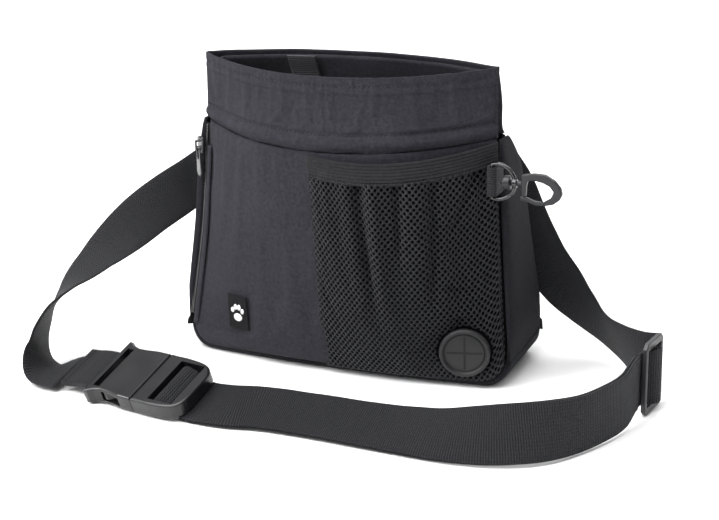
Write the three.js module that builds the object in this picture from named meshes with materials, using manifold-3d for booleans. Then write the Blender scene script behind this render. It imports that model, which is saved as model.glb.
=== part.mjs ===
// Treat pouch on a waist belt: a fabric pouch that stands on its base, with a zipped front
// pocket, a mesh pocket, a rubber bag port and a snap hook, and a webbing belt that lies
// round it on the same surface, closed by a side release buckle.
// Millimetres, +Z up, front of the pouch towards -Y, origin at the middle of its base.

import * as THREE from 'three';
import { mergeVertices } from 'three/addons/utils/BufferGeometryUtils.js';
import Module from 'manifold-3d';

const wasm = await Module();
wasm.setup();

// ---------------------------------------------------------------- driving dimensions

const HEIGHT = 175; // rim corners above the base
const GAP = 0.4; // between two pieces that meet
const FABRIC = 2; // padded outer fabric
const CORNER_RADIUS = 15; // bottom corners, seen from the front
const BASE_THICKNESS = 3.5;
const FRONT_SEAM_LIP = 4.6; // bottom seam of the front panel above the base
const COLLAR_SEAM_SIDE = 137; // collar seam at the sides
const COLLAR_SEAM_DIP = 6; // how far the front seam hangs lower in the middle
const COLLAR_SEAM_BACK = 137;
const FRONT_RIM_DIP = 4;
const BACK_RIM_RISE = 1.5;

// Each profile is a list of [height, value].
const HALF_WIDTH = [[0, 100.5], [26, 97.5], [43, 95.5], [77, 92], [137, 88], [175, 87.4]];
const FRONT_EDGE = [[0, -33.8], [26, -30], [43, -27.2], [77, -22], [137, -17], [175, -15.5]];
const FRONT_BOW = [[0, 7], [40, 22], [85, 32], [130, 35], [175, 29.5]];
const BACK_EDGE = [[0, 33.5], [60, 24], [100, 16], [120, 10], [132, 2], [141, -7], [155, -7], [175, -14]];
const BACK_MIDDLE = [[0, 36], [60, 32], [100, 27], [137, 20], [176.5, 3.5]];
const BACK_SQUARENESS = [[0, 6], [120, 6], [137, 5], [155, 3], [175, 2.2]];
const GUSSET_BULGE = [[0, 0.45], [40, 1], [116, 1], [135, 0.45]];
const FRONT_SQUARENESS = 2.2;
const GUSSET_BULGE_LEFT = 6.5;
const GUSSET_BULGE_RIGHT = 4.5;
const GUSSET_SQUARENESS = 0.5;
const GUSSET_TOP = 134.5;
const PLEAT = 3.5; // inward fold of the collar at each side

const WEBBING_WIDTH = 30;
const WEBBING = 1.7; // one layer
const DOUBLE_WEBBING = 3.4;

// ---------------------------------------------------------------- materials

function finish(color, roughness, metalness = 0) {
  return new THREE.MeshStandardMaterial({ color, roughness, metalness });
}

const shellFabric = finish(0x3b3b41, 0.9);
const liningFabric = finish(0x1d1c20, 0.85);
const meshFabric = finish(0x2c2c30, 0.8);
const elasticBand = finish(0x2a2a2c, 0.75);
const webbingFabric = finish(0x18181a, 0.8);
const labelFabric = finish(0x101012, 0.7);
const portRubber = finish(0x333336, 0.6);
const bucklePlastic = finish(0x1c1c1e, 0.35);
const hookPlastic = finish(0x3a3c3e, 0.5);
const blackMetal = finish(0x2a2a2c, 0.35, 0.8);

// ---------------------------------------------------------------- geometry helpers

const v3 = (x, y, z) => new THREE.Vector3(x, y, z);
const mix = THREE.MathUtils.lerp;

function rowVolume(position, index) {
  let total = 0;
  const a = v3(0, 0, 0);
  const b = v3(0, 0, 0);
  const c = v3(0, 0, 0);
  for (let i = 0; i < index.length; i += 3) {
    a.fromBufferAttribute(position, index[i]);
    b.fromBufferAttribute(position, index[i + 1]);
    c.fromBufferAttribute(position, index[i + 2]);
    total += a.dot(b.cross(c)) / 6;
  }
  return total;
}

// Turns every face outward.
function outward(geometry) {
  const index = Array.from(geometry.index.array);
  if (rowVolume(geometry.attributes.position, index) < 0) {
    for (let i = 0; i < index.length; i += 3) {
      [index[i], index[i + 1]] = [index[i + 1], index[i]];
    }
    geometry.setIndex(index);
  }
  return geometry;
}

function bare(geometry) {
  const plain = geometry.clone();
  plain.deleteAttribute('normal');
  plain.deleteAttribute('uv');
  return mergeVertices(plain, 1e-4);
}

// A slab whose unit coordinates (u along, v up, w through) are placed by a function.
function slab(alongSteps, upSteps, place) {
  const geometry = bare(new THREE.BoxGeometry(1, 1, 1, alongSteps, upSteps, 1));
  const position = geometry.attributes.position;
  for (let i = 0; i < position.count; i++) {
    const p = place(position.getX(i) + 0.5, position.getY(i) + 0.5, position.getZ(i) + 0.5);
    position.setXYZ(i, p.x, p.y, p.z);
  }
  return outward(geometry);
}

// Joins a row of equal rings of points into one solid, with fan caps or as a closed hoop.
function loft(rings, hoop = false) {
  const count = rings[0].length;
  const points = rings.flat();
  const index = [];
  const spans = hoop ? rings.length : rings.length - 1;
  for (let i = 0; i < spans; i++) {
    const a = i * count;
    const b = ((i + 1) % rings.length) * count;
    for (let j = 0; j < count; j++) {
      const k = (j + 1) % count;
      index.push(a + j, a + k, b + k, a + j, b + k, b + j);
    }
  }
  if (!hoop) {
    for (const [ring, flip] of [[0, true], [rings.length - 1, false]]) {
      const middle = v3(0, 0, 0);
      rings[ring].forEach((p) => middle.addScaledVector(p, 1 / count));
      points.push(middle);
      for (let j = 0; j < count; j++) {
        const a = ring * count + j;
        const b = ring * count + ((j + 1) % count);
        index.push(points.length - 1, flip ? b : a, flip ? a : b);
      }
    }
  }
  const geometry = new THREE.BufferGeometry().setFromPoints(points);
  geometry.setIndex(index);
  return outward(geometry);
}

function toManifold(geometry) {
  const plain = bare(geometry);
  return new wasm.Manifold(new wasm.Mesh({
    numProp: 3,
    vertProperties: new Float32Array(plain.attributes.position.array),
    triVerts: new Uint32Array(plain.index.array),
  }));
}

function fromManifold(solid) {
  const mesh = solid.getMesh();
  const geometry = new THREE.BufferGeometry();
  geometry.setAttribute('position', new THREE.BufferAttribute(mesh.vertProperties, 3));
  geometry.setIndex(Array.from(mesh.triVerts));
  return geometry;
}

function cut(geometry, ...tools) {
  let solid = toManifold(geometry);
  for (const tool of tools) solid = solid.subtract(toManifold(tool));
  return fromManifold(solid);
}

function join(geometry, ...others) {
  let solid = toManifold(geometry);
  for (const other of others) solid = solid.add(toManifold(other));
  return fromManifold(solid);
}

function block(x0, x1, y0, y1, z0, z1) {
  const box = new THREE.BoxGeometry(x1 - x0, y1 - y0, z1 - z0);
  return box.translate((x0 + x1) / 2, (y0 + y1) / 2, (z0 + z1) / 2);
}

// A flat plate from an outline of [x, y] points, lying in XY and centred on z = 0.
function plate(outline, thickness, bevel = 0, curveSteps = 12) {
  const shape = new THREE.Shape(outline.map(([x, y]) => new THREE.Vector2(x, y)));
  const depth = thickness - 2 * bevel;
  const geometry = new THREE.ExtrudeGeometry(shape, {
    depth,
    curveSegments: curveSteps,
    bevelEnabled: bevel > 0,
    bevelThickness: bevel,
    bevelSize: bevel,
    bevelOffset: -bevel,
    bevelSegments: 2,
  });
  return geometry.translate(0, 0, -depth / 2);
}

// Points along a smooth curve through hand-set [x, y] points.
function smooth(points, steps, closed = false) {
  const curve = new THREE.CatmullRomCurve3(points.map(([x, y]) => v3(x, y, 0)), closed, 'centripetal');
  return curve.getPoints(steps).map((p) => [p.x, p.y]);
}

// A round bar along a path of points; a hoop joins its ends.
function bar(path, radius, sides, hoop = false) {
  const rings = path.map((p, i) => {
    const before = path[hoop ? (i + path.length - 1) % path.length : Math.max(i - 1, 0)];
    const after = path[hoop ? (i + 1) % path.length : Math.min(i + 1, path.length - 1)];
    const along = after.clone().sub(before).normalize();
    const side = v3(0, 1, 0).cross(along).normalize();
    const up = along.clone().cross(side);
    return Array.from({ length: sides }, (_, j) => {
      const turn = (2 * Math.PI * j) / sides;
      return p.clone().addScaledVector(side, radius * Math.cos(turn))
        .addScaledVector(up, radius * Math.sin(turn));
    });
  });
  return loft(rings, hoop);
}

// A webbing ribbon along a route of [x, y, z, across x, across y, across z] points.
function ribbon(route, steps, thickness, width = WEBBING_WIDTH, from = 0, to = 1) {
  const centre = new THREE.CatmullRomCurve3(route.map((r) => v3(r[0], r[1], r[2])), false, 'centripetal');
  const across = new THREE.CatmullRomCurve3(route.map((r) => v3(r[3], r[4], r[5])), false, 'catmullrom');
  const rings = [];
  for (let i = 0; i <= steps; i++) {
    const t = mix(from, to, i / steps);
    const p = centre.getPoint(t);
    const along = centre.getTangent(t);
    const side = across.getPoint(t);
    side.addScaledVector(along, -side.dot(along)).normalize();
    const face = along.clone().cross(side);
    const corner = (a, b) => p.clone().addScaledVector(side, (a * width) / 2)
      .addScaledVector(face, (b * thickness) / 2);
    rings.push([corner(-1, -1), corner(1, -1), corner(1, 1), corner(-1, 1)]);
  }
  return loft(rings);
}

const pouch = new THREE.Group();

function add(name, geometry, material, parent = pouch) {
  const mesh = new THREE.Mesh(geometry, material);
  mesh.name = name;
  parent.add(mesh);
  return mesh;
}

// ---------------------------------------------------------------- shape of the pouch

// Smooth value of a profile at a height.
function profile(table, height) {
  const last = table.length - 1;
  if (height <= table[0][0]) return table[0][1];
  if (height >= table[last][0]) return table[last][1];
  let i = 0;
  while (height > table[i + 1][0]) i++;
  const slope = (k) => {
    const a = Math.max(k - 1, 0);
    const b = Math.min(k + 1, last);
    return (table[b][1] - table[a][1]) / (table[b][0] - table[a][0]);
  };
  const span = table[i + 1][0] - table[i][0];
  const t = (height - table[i][0]) / span;
  const h = t * t * (3 - 2 * t);
  const left = t * (1 - t) * (1 - t) * span * slope(i);
  const right = t * t * (1 - t) * span * slope(i + 1);
  return mix(table[i][1], table[i + 1][1], h) + left - right;
}

const halfWidth = (z) => profile(HALF_WIDTH, z);

function frontY(x, z) {
  const share = Math.min(1, Math.abs(x) / halfWidth(z));
  return profile(FRONT_EDGE, z) - profile(FRONT_BOW, z) * (1 - share ** FRONT_SQUARENESS);
}

function backY(x, z) {
  const share = Math.min(1, Math.abs(x) / halfWidth(z));
  const edge = profile(BACK_EDGE, z);
  const bow = profile(BACK_MIDDLE, z) - edge;
  return edge + bow * (1 - share ** profile(BACK_SQUARENESS, z));
}

// Height of the rounded bottom outline; share runs from -1 at the left to 1 at the right.
function bottomZ(share) {
  const reach = Math.max(0, Math.abs(share) * HALF_WIDTH[0][1] - (HALF_WIDTH[0][1] - CORNER_RADIUS));
  return CORNER_RADIUS - Math.sqrt(Math.max(0, CORNER_RADIUS ** 2 - reach ** 2));
}

const frontSeamZ = (share) => COLLAR_SEAM_SIDE - COLLAR_SEAM_DIP * (1 - share * share);
const frontRimZ = (share) => HEIGHT - FRONT_RIM_DIP * (1 - share * share);
const backRimZ = (share) => HEIGHT + BACK_RIM_RISE * (1 - share * share);

// A point of the front wall, stood off by out; share is -1 to 1 across it.
function frontPoint(share, z, out, inset = 0) {
  const x = share * (halfWidth(z) - inset);
  return v3(x, frontY(x, z) - out, z);
}

function backPoint(share, z, out, inset = 0) {
  const x = share * (halfWidth(z) - inset);
  return v3(x, backY(x, z) + out, z);
}

// ---------------------------------------------------------------- outer shell

const ZIP_SHARE = [-2.4, -0.2]; // zip coil across the left edge, from the edge inward
const ZIP_TOP = 133;
const ZIP_BOTTOM = 22;
const PORT = { x: 76.5, z: 22, radius: 14, hole: 10.5, tiltDown: 4, turn: 14.5, out: 1 };

function portFrame() {
  const group = new THREE.Group();
  group.position.set(PORT.x, frontY(PORT.x, PORT.z) - PORT.out, PORT.z);
  group.rotation.set(
    THREE.MathUtils.degToRad(90 + PORT.tiltDown),
    0,
    THREE.MathUtils.degToRad(PORT.turn),
    'ZYX',
  );
  return group;
}

function portCutter(radius) {
  const group = portFrame();
  group.updateMatrixWorld();
  const tool = new THREE.CylinderGeometry(radius, radius, 40, 32);
  tool.rotateX(Math.PI / 2);
  return tool.applyMatrix4(group.matrixWorld);
}

function frontPanel() {
  const leftInset = 2.8;
  const panel = slab(30, 16, (u, v, w) => {
    const share = 2 * u - 1;
    const low = bottomZ(share) + FRONT_SEAM_LIP;
    const z = mix(low, frontSeamZ(share) - GAP, v);
    const half = halfWidth(z);
    const x = mix(-half + leftInset, half - GAP, u);
    return v3(x, frontY(x, z) + mix(FABRIC, 0, w), z);
  });
  return cut(panel, portCutter(PORT.hole));
}

function backPanel() {
  return slab(24, 16, (u, v, w) => {
    const share = 1 - 2 * u;
    const low = bottomZ(share) + BASE_THICKNESS + 0.6;
    const z = mix(low, COLLAR_SEAM_BACK - GAP, v);
    return backPoint(share, z, mix(-FABRIC, 0, w), GAP);
  });
}

// Side panel: a flattened half oval between the front and back edges.
function gusset(side) {
  const bulge = side > 0 ? GUSSET_BULGE_RIGHT : GUSSET_BULGE_LEFT;
  return slab(12, 14, (u, v, w) => {
    const z = mix(CORNER_RADIUS + 1.2, GUSSET_TOP, v);
    const front = profile(FRONT_EDGE, z);
    const back = profile(BACK_EDGE, z) - 0.2;
    const depth = (back - front) / 2;
    const reach = bulge * profile(GUSSET_BULGE, z);
    const turn = (u - 0.5) * Math.PI;
    const sine = Math.sin(turn);
    const cosine = Math.max(0, Math.cos(turn));
    const x = halfWidth(z) + GAP + reach * cosine ** GUSSET_SQUARENESS;
    const y = front + depth + depth * Math.sign(sine) * Math.abs(sine) ** GUSSET_SQUARENESS;
    const nx = cosine ** (2 - GUSSET_SQUARENESS) / reach;
    const ny = (Math.sign(sine) * Math.abs(sine) ** (2 - GUSSET_SQUARENESS)) / depth;
    const inward = mix(1.5, 0, w) / Math.hypot(nx, ny);
    return v3(side * (x - nx * inward), y - ny * inward, z);
  });
}

// Bottom strip, which turns up at both ends to meet the side panels.
function basePanel() {
  return slab(28, 8, (u, v, w) => {
    const lift = mix(BASE_THICKNESS, 0, w);
    const bend = Math.PI / 2;
    const corner = 0.2;
    const side = u < 0.5 ? -1 : 1;
    const fromMiddle = Math.abs(2 * u - 1);
    const turn = bend * Math.max(0, (fromMiddle - (1 - corner)) / corner);
    const flat = Math.min(1, fromMiddle / (1 - corner));
    const centre = halfWidth(CORNER_RADIUS) + 1.5 - CORNER_RADIUS;
    const radius = CORNER_RADIUS - lift;
    const x = side * (flat * centre + radius * Math.sin(turn));
    const z = CORNER_RADIUS - radius * Math.cos(turn);
    const outerZ = CORNER_RADIUS * (1 - Math.cos(turn));
    return v3(x, mix(backY(x, outerZ), frontY(x, outerZ), v), z);
  });
}

function collarFront() {
  return slab(26, 8, (u, v, w) => {
    const share = 2 * u - 1;
    const z = mix(frontSeamZ(share) + GAP, frontRimZ(share), v);
    return frontPoint(share, z, mix(-FABRIC * 0.75, 0, w), GAP);
  });
}

// Back of the collar, which wraps both sides to the front corners with an inward pleat.
function collarBack() {
  const bend = 0.86;
  return slab(36, 8, (u, v, w) => {
    const spread = Math.abs(1 - 2 * u);
    const side = u < 0.5 ? 1 : -1;
    const share = side * Math.min(1, spread / bend);
    const z = mix(COLLAR_SEAM_BACK + GAP, backRimZ(share), v);
    const half = halfWidth(z) - GAP;
    const thick = FABRIC * 0.6 * (1 - w);
    const seam = profile(FRONT_EDGE, z) + FABRIC;
    if (spread <= bend) {
      const x = share * half;
      return v3(x - side * thick * Math.abs(share) ** 8, Math.max(backY(x, z), seam + 2.4) - thick, z);
    }
    const t = (spread - bend) / (1 - bend);
    const corner = Math.max(profile(BACK_EDGE, z), seam + 2.4);
    const pleat = PLEAT * Math.sin(Math.PI * t) * Math.min(1, (corner - seam) / 10);
    return v3(side * (half - pleat - thick), mix(corner - thick, seam, t), z);
  });
}

add('front_panel', frontPanel(), shellFabric);
add('back_panel', backPanel(), shellFabric);
add('right_gusset', gusset(1), shellFabric);
add('left_gusset', gusset(-1), shellFabric);
add('base_panel', basePanel(), shellFabric);
add('collar_front', collarFront(), shellFabric);
add('collar_back', collarBack(), shellFabric);

// ---------------------------------------------------------------- inside

const LINING_BOTTOM = 5;
const LINING_FRONT = [[0, 6], [120, 6], [150, 3.2], [175, 2.6]];
const LINING_BACK = [[0, 3.2], [150, 3.2], [175, 2.4]];
const LINING_SIDE = [[0, 4], [110, 4], [140, 8], [168, 14]];
const LINING = 1.2;
const LINING_BELOW_RIM = 6;

function liningRing(level, thickness) {
  const steps = 22;
  const ring = [];
  for (const [wall, sign] of [['front', 1], ['back', -1]]) {
    for (let i = 0; i < steps; i++) {
      const share = sign * ((2 * i) / steps - 1 + 1 / steps);
      const rim = wall === 'front' ? frontRimZ(share) : backRimZ(share);
      const z = mix(LINING_BOTTOM, rim - LINING_BELOW_RIM, level) + thickness * (level === 0 ? 1 : 0);
      const reach = Math.min(1, Math.sqrt(Math.max(0, z - 2) / CORNER_RADIUS));
      const corner = CORNER_RADIUS * (1 - Math.sqrt(1 - (1 - reach) ** 2));
      const x = share * (halfWidth(z) - profile(LINING_SIDE, z) - thickness - corner);
      const y = wall === 'front'
        ? frontY(x, z) + profile(LINING_FRONT, z) + thickness
        : backY(x, z) - profile(LINING_BACK, z) - thickness;
      ring.push(v3(x, y, z));
    }
  }
  return ring;
}

function lining() {
  const levels = [0, 0.06, 0.14, 0.3, 0.45, 0.6, 0.72, 0.8, 0.88, 0.94, 1];
  const outer = levels.map((level) => liningRing(level, 0));
  const inner = levels.map((level) => liningRing(level, LINING)).reverse();
  return loft([...outer, ...inner]);
}

// Back wall of the zipped pocket, between the front panel and the lining.
function pocketDivider() {
  return slab(20, 10, (u, v, w) => {
    const share = 2 * u - 1;
    const z = mix(bottomZ(share) + FRONT_SEAM_LIP + 3, frontSeamZ(share) - 4, v);
    const x = share * (halfWidth(z) - 9);
    return v3(x, frontY(x, z) + mix(4.6, 3.7, w), z);
  });
}

const RIBBON = { left: -42, right: -25.5, low: 157, high: 174 };

function innerRibbon() {
  return slab(4, 6, (u, v, w) => {
    const x = mix(RIBBON.left, RIBBON.right, u);
    const z = mix(RIBBON.low, RIBBON.high, v);
    const lined = profile(LINING_BACK, z) + LINING + GAP;
    return v3(x, backY(x, z) - lined - mix(1.3, 0, w), z);
  });
}

add('lining', lining(), liningFabric);
add('zip_pocket_back', pocketDivider(), liningFabric);
add('inner_ribbon_tab', innerRibbon(), webbingFabric);

// ---------------------------------------------------------------- zip

function zipPoint(z, across, out) {
  const x = -halfWidth(z) + across;
  return v3(x, frontY(x, z) - out, z);
}

function zipStrip(across, out, low, high, steps = 2) {
  return slab(steps, 14, (u, v, w) => {
    const z = mix(low, high, v);
    return zipPoint(z, mix(across[0], across[1], u), mix(out[0], out[1], w));
  });
}

add('zip_tape', zipStrip([-1.6, 7.5], [-3.3, -2.5], ZIP_BOTTOM - 2, ZIP_TOP + 0.5, 6), webbingFabric);
add('zip_coil', zipStrip([-ZIP_SHARE[1], -ZIP_SHARE[0]], [-2.1, 0.4], ZIP_BOTTOM, ZIP_TOP), blackMetal);
add('zip_flap', zipStrip([3.1, 6.9], [0.4, 1.2], ZIP_BOTTOM - 4, 118), shellFabric);

const SLIDER_REST = 122;
const ZIP_TURN = -38; // the zip faces the front left

const slider = new THREE.Group();
slider.position.copy(zipPoint(SLIDER_REST, 1.2, 0));
slider.rotation.z = THREE.MathUtils.degToRad(ZIP_TURN);
pouch.add(slider);

// Slider body: a shield with a bridge that the puller hangs from.
function sliderBody() {
  const outline = smooth([[-3.6, 4], [0, 4.8], [3.6, 4], [3.1, -1], [2.4, -4.4], [0, -5], [-2.4, -4.4],
    [-3.1, -1]], 24, true).slice(0, -1);
  const body = plate(outline, 2.2, 0.4).rotateX(Math.PI / 2).translate(0, -3.4, 0);
  const bridge = block(-0.9, 0.9, -7.4, -4.1, -3.2, 3);
  const eye = block(-2, 2, -6.4, -4.5, -2.2, 2);
  return cut(join(body, bridge), eye);
}

// The bar across the puller's top lies in the eye of the bridge, and the bridge in the puller's slot.
function zipPuller() {
  const outline = [[-1.6, 0.5], [1.6, 0.5], [2.5, -0.6], [2.5, -8], [3, -15], [2.2, -17], [0, -17.8],
    [-2.2, -17], [-3, -15], [-2.5, -8], [-2.5, -0.6]];
  const slot = [[-1.4, -0.5], [1.4, -0.5], [1.4, -6], [0.7, -6.9], [-0.7, -6.9], [-1.4, -6]];
  const body = plate(outline.reverse(), 1, 0.2).rotateX(Math.PI / 2);
  const hole = plate(slot.reverse(), 6).rotateX(Math.PI / 2);
  return cut(body, hole);
}

add('zip_slider', sliderBody(), blackMetal, slider);
const puller = add('zip_puller', zipPuller(), blackMetal, slider);
puller.position.set(0, -5.45, -1.2);

// ---------------------------------------------------------------- label

const LABEL = { left: -67, right: -53, low: 19.5, high: 40 };
const labelGeometry = slab(4, 5, (u, v, w) => {
  const x = mix(LABEL.left, LABEL.right, u);
  const z = mix(LABEL.low, LABEL.high, v);
  return v3(x, frontY(x, z) - mix(0.3, 1.1, w), z);
});
add('woven_label', labelGeometry, labelFabric);

// ---------------------------------------------------------------- mesh pocket

const POCKET_LEFT = [[0, -4.5], [70, -5], [96, -5.5], [131, -8]];
const POCKET_BOTTOM = 6;
const POCKET_ROOM = 8.5; // how far the mesh stands off in the middle
const POCKET_INSET = 3.6; // right edge, from the side seam
const ELASTIC_HEIGHT = 11;
const ELASTIC_DROP = 3.5; // top edge below the seam in the middle

const elasticTop = (share) => frontSeamZ(share) - 1.2 - ELASTIC_DROP * (1 - (2 * Math.abs(share) - 1) ** 2);

function pocketPoint(u, z, out) {
  const left = profile(POCKET_LEFT, z);
  const x = mix(left, halfWidth(z) - POCKET_INSET, u);
  const rise = Math.min(1, Math.max(0, (z - POCKET_BOTTOM) / 60));
  const belly = Math.sin(Math.PI * u) ** 0.8 * Math.sin((rise * Math.PI) / 2) ** 0.7;
  return v3(x, frontY(x, z) - (0.5 + POCKET_ROOM * belly + out), z);
}

function meshPocket() {
  const sheet = slab(24, 16, (u, v, w) => {
    const share = mix(0, 1, u);
    const low = bottomZ(share) + POCKET_BOTTOM;
    const high = elasticTop(share) - ELASTIC_HEIGHT - GAP;
    return pocketPoint(u, mix(low, high, v), mix(0, 1.2, w));
  });
  return cut(sheet, portCutter(PORT.radius + 0.6));
}

function pocketElastic() {
  return slab(24, 4, (u, v, w) => {
    const high = elasticTop(u);
    return pocketPoint(u, mix(high - ELASTIC_HEIGHT, high, v), mix(0, 1.7, w));
  });
}

add('mesh_pocket', meshPocket(), meshFabric);
add('pocket_elastic', pocketElastic(), elasticBand);

// ---------------------------------------------------------------- rubber bag port

function rubberPort() {
  const profilePoints = [[0, 0.4], [PORT.hole, 0.4], [PORT.radius, 0.4], [PORT.radius, 2.6],
    [PORT.radius - 0.7, 3.3], [PORT.radius - 1.7, 3.3], [PORT.radius - 2.4, 2.2], [0, 2.2]];
  const disc = new THREE.LatheGeometry(profilePoints.map(([r, h]) => new THREE.Vector2(r, h)), 40);
  disc.rotateX(Math.PI / 2);
  const arm = 10.6;
  const slit = 0.4;
  const acrossCut = block(-arm, arm, -slit, slit, -5, 5);
  const uprightCut = block(-slit, slit, -arm, arm, -5, 5);
  return cut(disc, join(acrossCut, uprightCut));
}

const port = portFrame();
pouch.add(port);
add('bag_port', rubberPort(), portRubber, port);

// ---------------------------------------------------------------- swivel hook

const EYE = { x: 89.5, y: -31.5, z: 117.5, half: 9.2, reach: 12.5, wire: 1.2 };
const HOOK_THICKNESS = 3.2;

// Folded strap sewn into the seam, with the straight side of the eye in its fold.
function eyeTab() {
  const seam = -21.5;
  const height = 8;
  const inner = EYE.wire + GAP;
  const outer = inner + 1.3;
  const turn = 8;
  const outline = [[-outer, seam], [-outer, EYE.y]];
  for (let i = 1; i < turn; i++) {
    const angle = Math.PI + (Math.PI * i) / turn;
    outline.push([outer * Math.cos(angle), EYE.y + outer * Math.sin(angle)]);
  }
  outline.push([outer, EYE.y], [outer, seam], [inner, seam], [inner, EYE.y]);
  for (let i = 1; i < turn; i++) {
    const angle = -(Math.PI * i) / turn;
    outline.push([inner * Math.cos(angle), EYE.y + inner * Math.sin(angle)]);
  }
  outline.push([-inner, EYE.y], [-inner, seam]);
  return plate(outline, 2 * height).translate(EYE.x, 0, EYE.z);
}

function eyePath() {
  const path = [];
  const straight = 6;
  for (let i = 0; i <= straight; i++) path.push(v3(0, 0, mix(-EYE.half, EYE.half, i / straight)));
  const bow = 16;
  for (let i = 1; i < bow; i++) {
    const angle = Math.PI / 2 - (Math.PI * i) / bow;
    path.push(v3(EYE.reach * Math.cos(angle) ** 0.8, 0, (EYE.half + 0.6) * Math.sin(angle)));
  }
  return path;
}

function swivelEye() {
  const ring = bar(eyePath(), EYE.wire, 8, true);
  const boss = new THREE.CylinderGeometry(2.4, 2.4, 2.6, 16).rotateZ(Math.PI / 2);
  const bore = new THREE.CylinderGeometry(1.45, 1.45, 8, 16).rotateZ(Math.PI / 2);
  boss.translate(EYE.reach, 0, 0);
  bore.translate(EYE.reach, 0, 0);
  return cut(join(ring, boss), bore);
}

const eye = new THREE.Group();
eye.position.set(EYE.x, EYE.y, EYE.z);
pouch.add(eye);

add('eye_tab', eyeTab(), shellFabric);
add('swivel_eye', swivelEye(), blackMetal, eye);

// Hook, with its post through the boss of the eye. The flat loop lies in the XZ plane.
const HOOK_BODY = [[2.6, -6.4], [2.2, 5], [9, 6.2], [15, 5.9], [20.2, 3], [23.4, -0.8], [24.2, -4],
  [22.8, -7.2], [19.6, -9.6], [14.2, -11], [13.9, -8.9], [18, -6.4], [19.6, -3], [17.6, -0.2], [13.6, 1.6], [8.6, 2.5],
  [5.6, 1.9], [4.9, -1], [4.6, -6.4]];
const GATE = [[1.4, -7], [5.2, -7], [9.2, -8.6], [13.2, -8.9], [13.4, -10.8], [9.4, -10.9], [4.8, -9.2],
  [1.6, -8.8]];
const HOOK_ORIGIN = EYE.reach + 1.6;

function upright(geometry) {
  return geometry.rotateX(Math.PI / 2);
}

function hookBody() {
  const body = upright(plate(HOOK_BODY, HOOK_THICKNESS, 0.4));
  const post = new THREE.CylinderGeometry(1.35, 1.35, 9, 16).rotateZ(Math.PI / 2).translate(-1.6, 0, 0);
  const barrel = new THREE.CylinderGeometry(4, 4, 3.6, 20).rotateZ(Math.PI / 2).translate(-5.6, 0, 0);
  const rivet = new THREE.CylinderGeometry(1.3, 1.7, 1.8, 12).rotateZ(Math.PI / 2).translate(-8, 0, 0);
  return join(body, post, barrel, rivet);
}

const hook = new THREE.Group();
hook.position.set(HOOK_ORIGIN, 0, 0);
eye.add(hook);
add('hook_body', hookBody(), hookPlastic, hook);
add('hook_gate', upright(plate(GATE, 2.2, 0.3)), hookPlastic, hook);

// ---------------------------------------------------------------- belt

const LOOP = { x: 44, half: 11, low: 100, high: 151, belt: 128 };
const BELT_OFF_BACK = 1.6;

function beltLoop(side) {
  return slab(4, 16, (u, v, w) => {
    const x = side * LOOP.x + mix(LOOP.half, -LOOP.half, u);
    const z = mix(LOOP.low, LOOP.high, v);
    const fromEnd = Math.min(z - LOOP.low, LOOP.high - z);
    const stand = mix(0.4, 5.6, Math.min(1, fromEnd / 6.5));
    return v3(x, backY(x, z) + stand + mix(0, 1.3, w), z);
  });
}

add('belt_loop_left', beltLoop(-1), webbingFabric);
add('belt_loop_right', beltLoop(1), webbingFabric);

// Buckle frame: x along the belt towards the plug, y across it, z through it.
const buckle = new THREE.Group();
buckle.position.set(-75.5, -114.5, 12.1);
buckle.rotation.set(THREE.MathUtils.degToRad(20), 0, THREE.MathUtils.degToRad(-10), 'ZYX');
pouch.add(buckle);
buckle.updateMatrixWorld();

function buckleWorld(x, y, z) {
  return v3(x, y, z).applyMatrix4(buckle.matrixWorld);
}

function buckleRoute(x, z) {
  const p = buckleWorld(x, 0, z);
  const side = buckleWorld(x, 1, z).sub(p);
  return [p.x, p.y, p.z, side.x, side.y, side.z];
}

// Tri-glide frame: x along the belt, y up, z out of its outer face.
const TRIGLIDE = { bar: 1.3, spacing: 10.6, half: 20, thickness: 2.6 };
const triglide = new THREE.Group();
triglide.position.set(178, -32, 20.6);
triglide.rotation.set(Math.PI / 2, 0, THREE.MathUtils.degToRad(82), 'ZYX');
pouch.add(triglide);
triglide.updateMatrixWorld();

function triglideRoute(x, z) {
  const p = v3(x, 0, z).applyMatrix4(triglide.matrixWorld);
  return [p.x, p.y, p.z, 0, 0, 1];
}

// Behind the pouch the belt follows the back panel.
function backRoute(x, drop = 0, lean = 0) {
  const z = LOOP.belt - drop;
  return [x, backY(x, z) + BELT_OFF_BACK, z, lean, -0.23, 1];
}

// Routes are [x, y, z] and the direction across the webbing.
const BELT_BACK = [backRoute(-53.6, 3.2, -0.24), backRoute(-44, 1.4, -0.13), backRoute(-32, 0.3, -0.03),
  backRoute(-12), backRoute(12), backRoute(32, 0.3, 0.03), backRoute(44, 1.4, 0.13),
  backRoute(53.6, 3.2, 0.24)];
const BELT_LEFT = [
  [-58.2, 23.4, 123.4, -0.25, -0.22, 0.96], [-64.5, 24.2, 121.5, -0.3, -0.2, 0.95],
  [-72, 25.2, 118.8, -0.35, -0.15, 0.95], [-81, 26.4, 114.6, -0.4, -0.08, 1],
  [-92, 27, 107.5, -0.45, -0.1, 1], [-104, 24.5, 98.5, -0.4, -0.1, 1], [-115, 18, 90.5, -0.2, 0.1, 1],
  [-124, 3, 83.5, -0.1, 0.5, 0.9], [-133, -14, 75.5, -0.1, 0.7, 0.75], [-141, -33, 65.5, -0.1, 0.8, 0.6],
  [-149, -52, 54.5, -0.1, 0.87, 0.45], [-156.5, -70, 43, -0.15, 0.92, 0.3],
  [-161.5, -83, 31.5, -0.2, 0.94, 0.1],
  [-163, -91, 20.5, -0.25, 0.94, -0.02], [-160.5, -97, 11.5, -0.27, 0.94, -0.03],
  [-153, -102.5, 5.6, -0.2, 0.97, 0.03], [-142.5, -106.5, 5.6, -0.05, 0.99, 0.14],
  [-133.5, -108, 8, 0.1, 0.96, 0.25],
];
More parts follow.
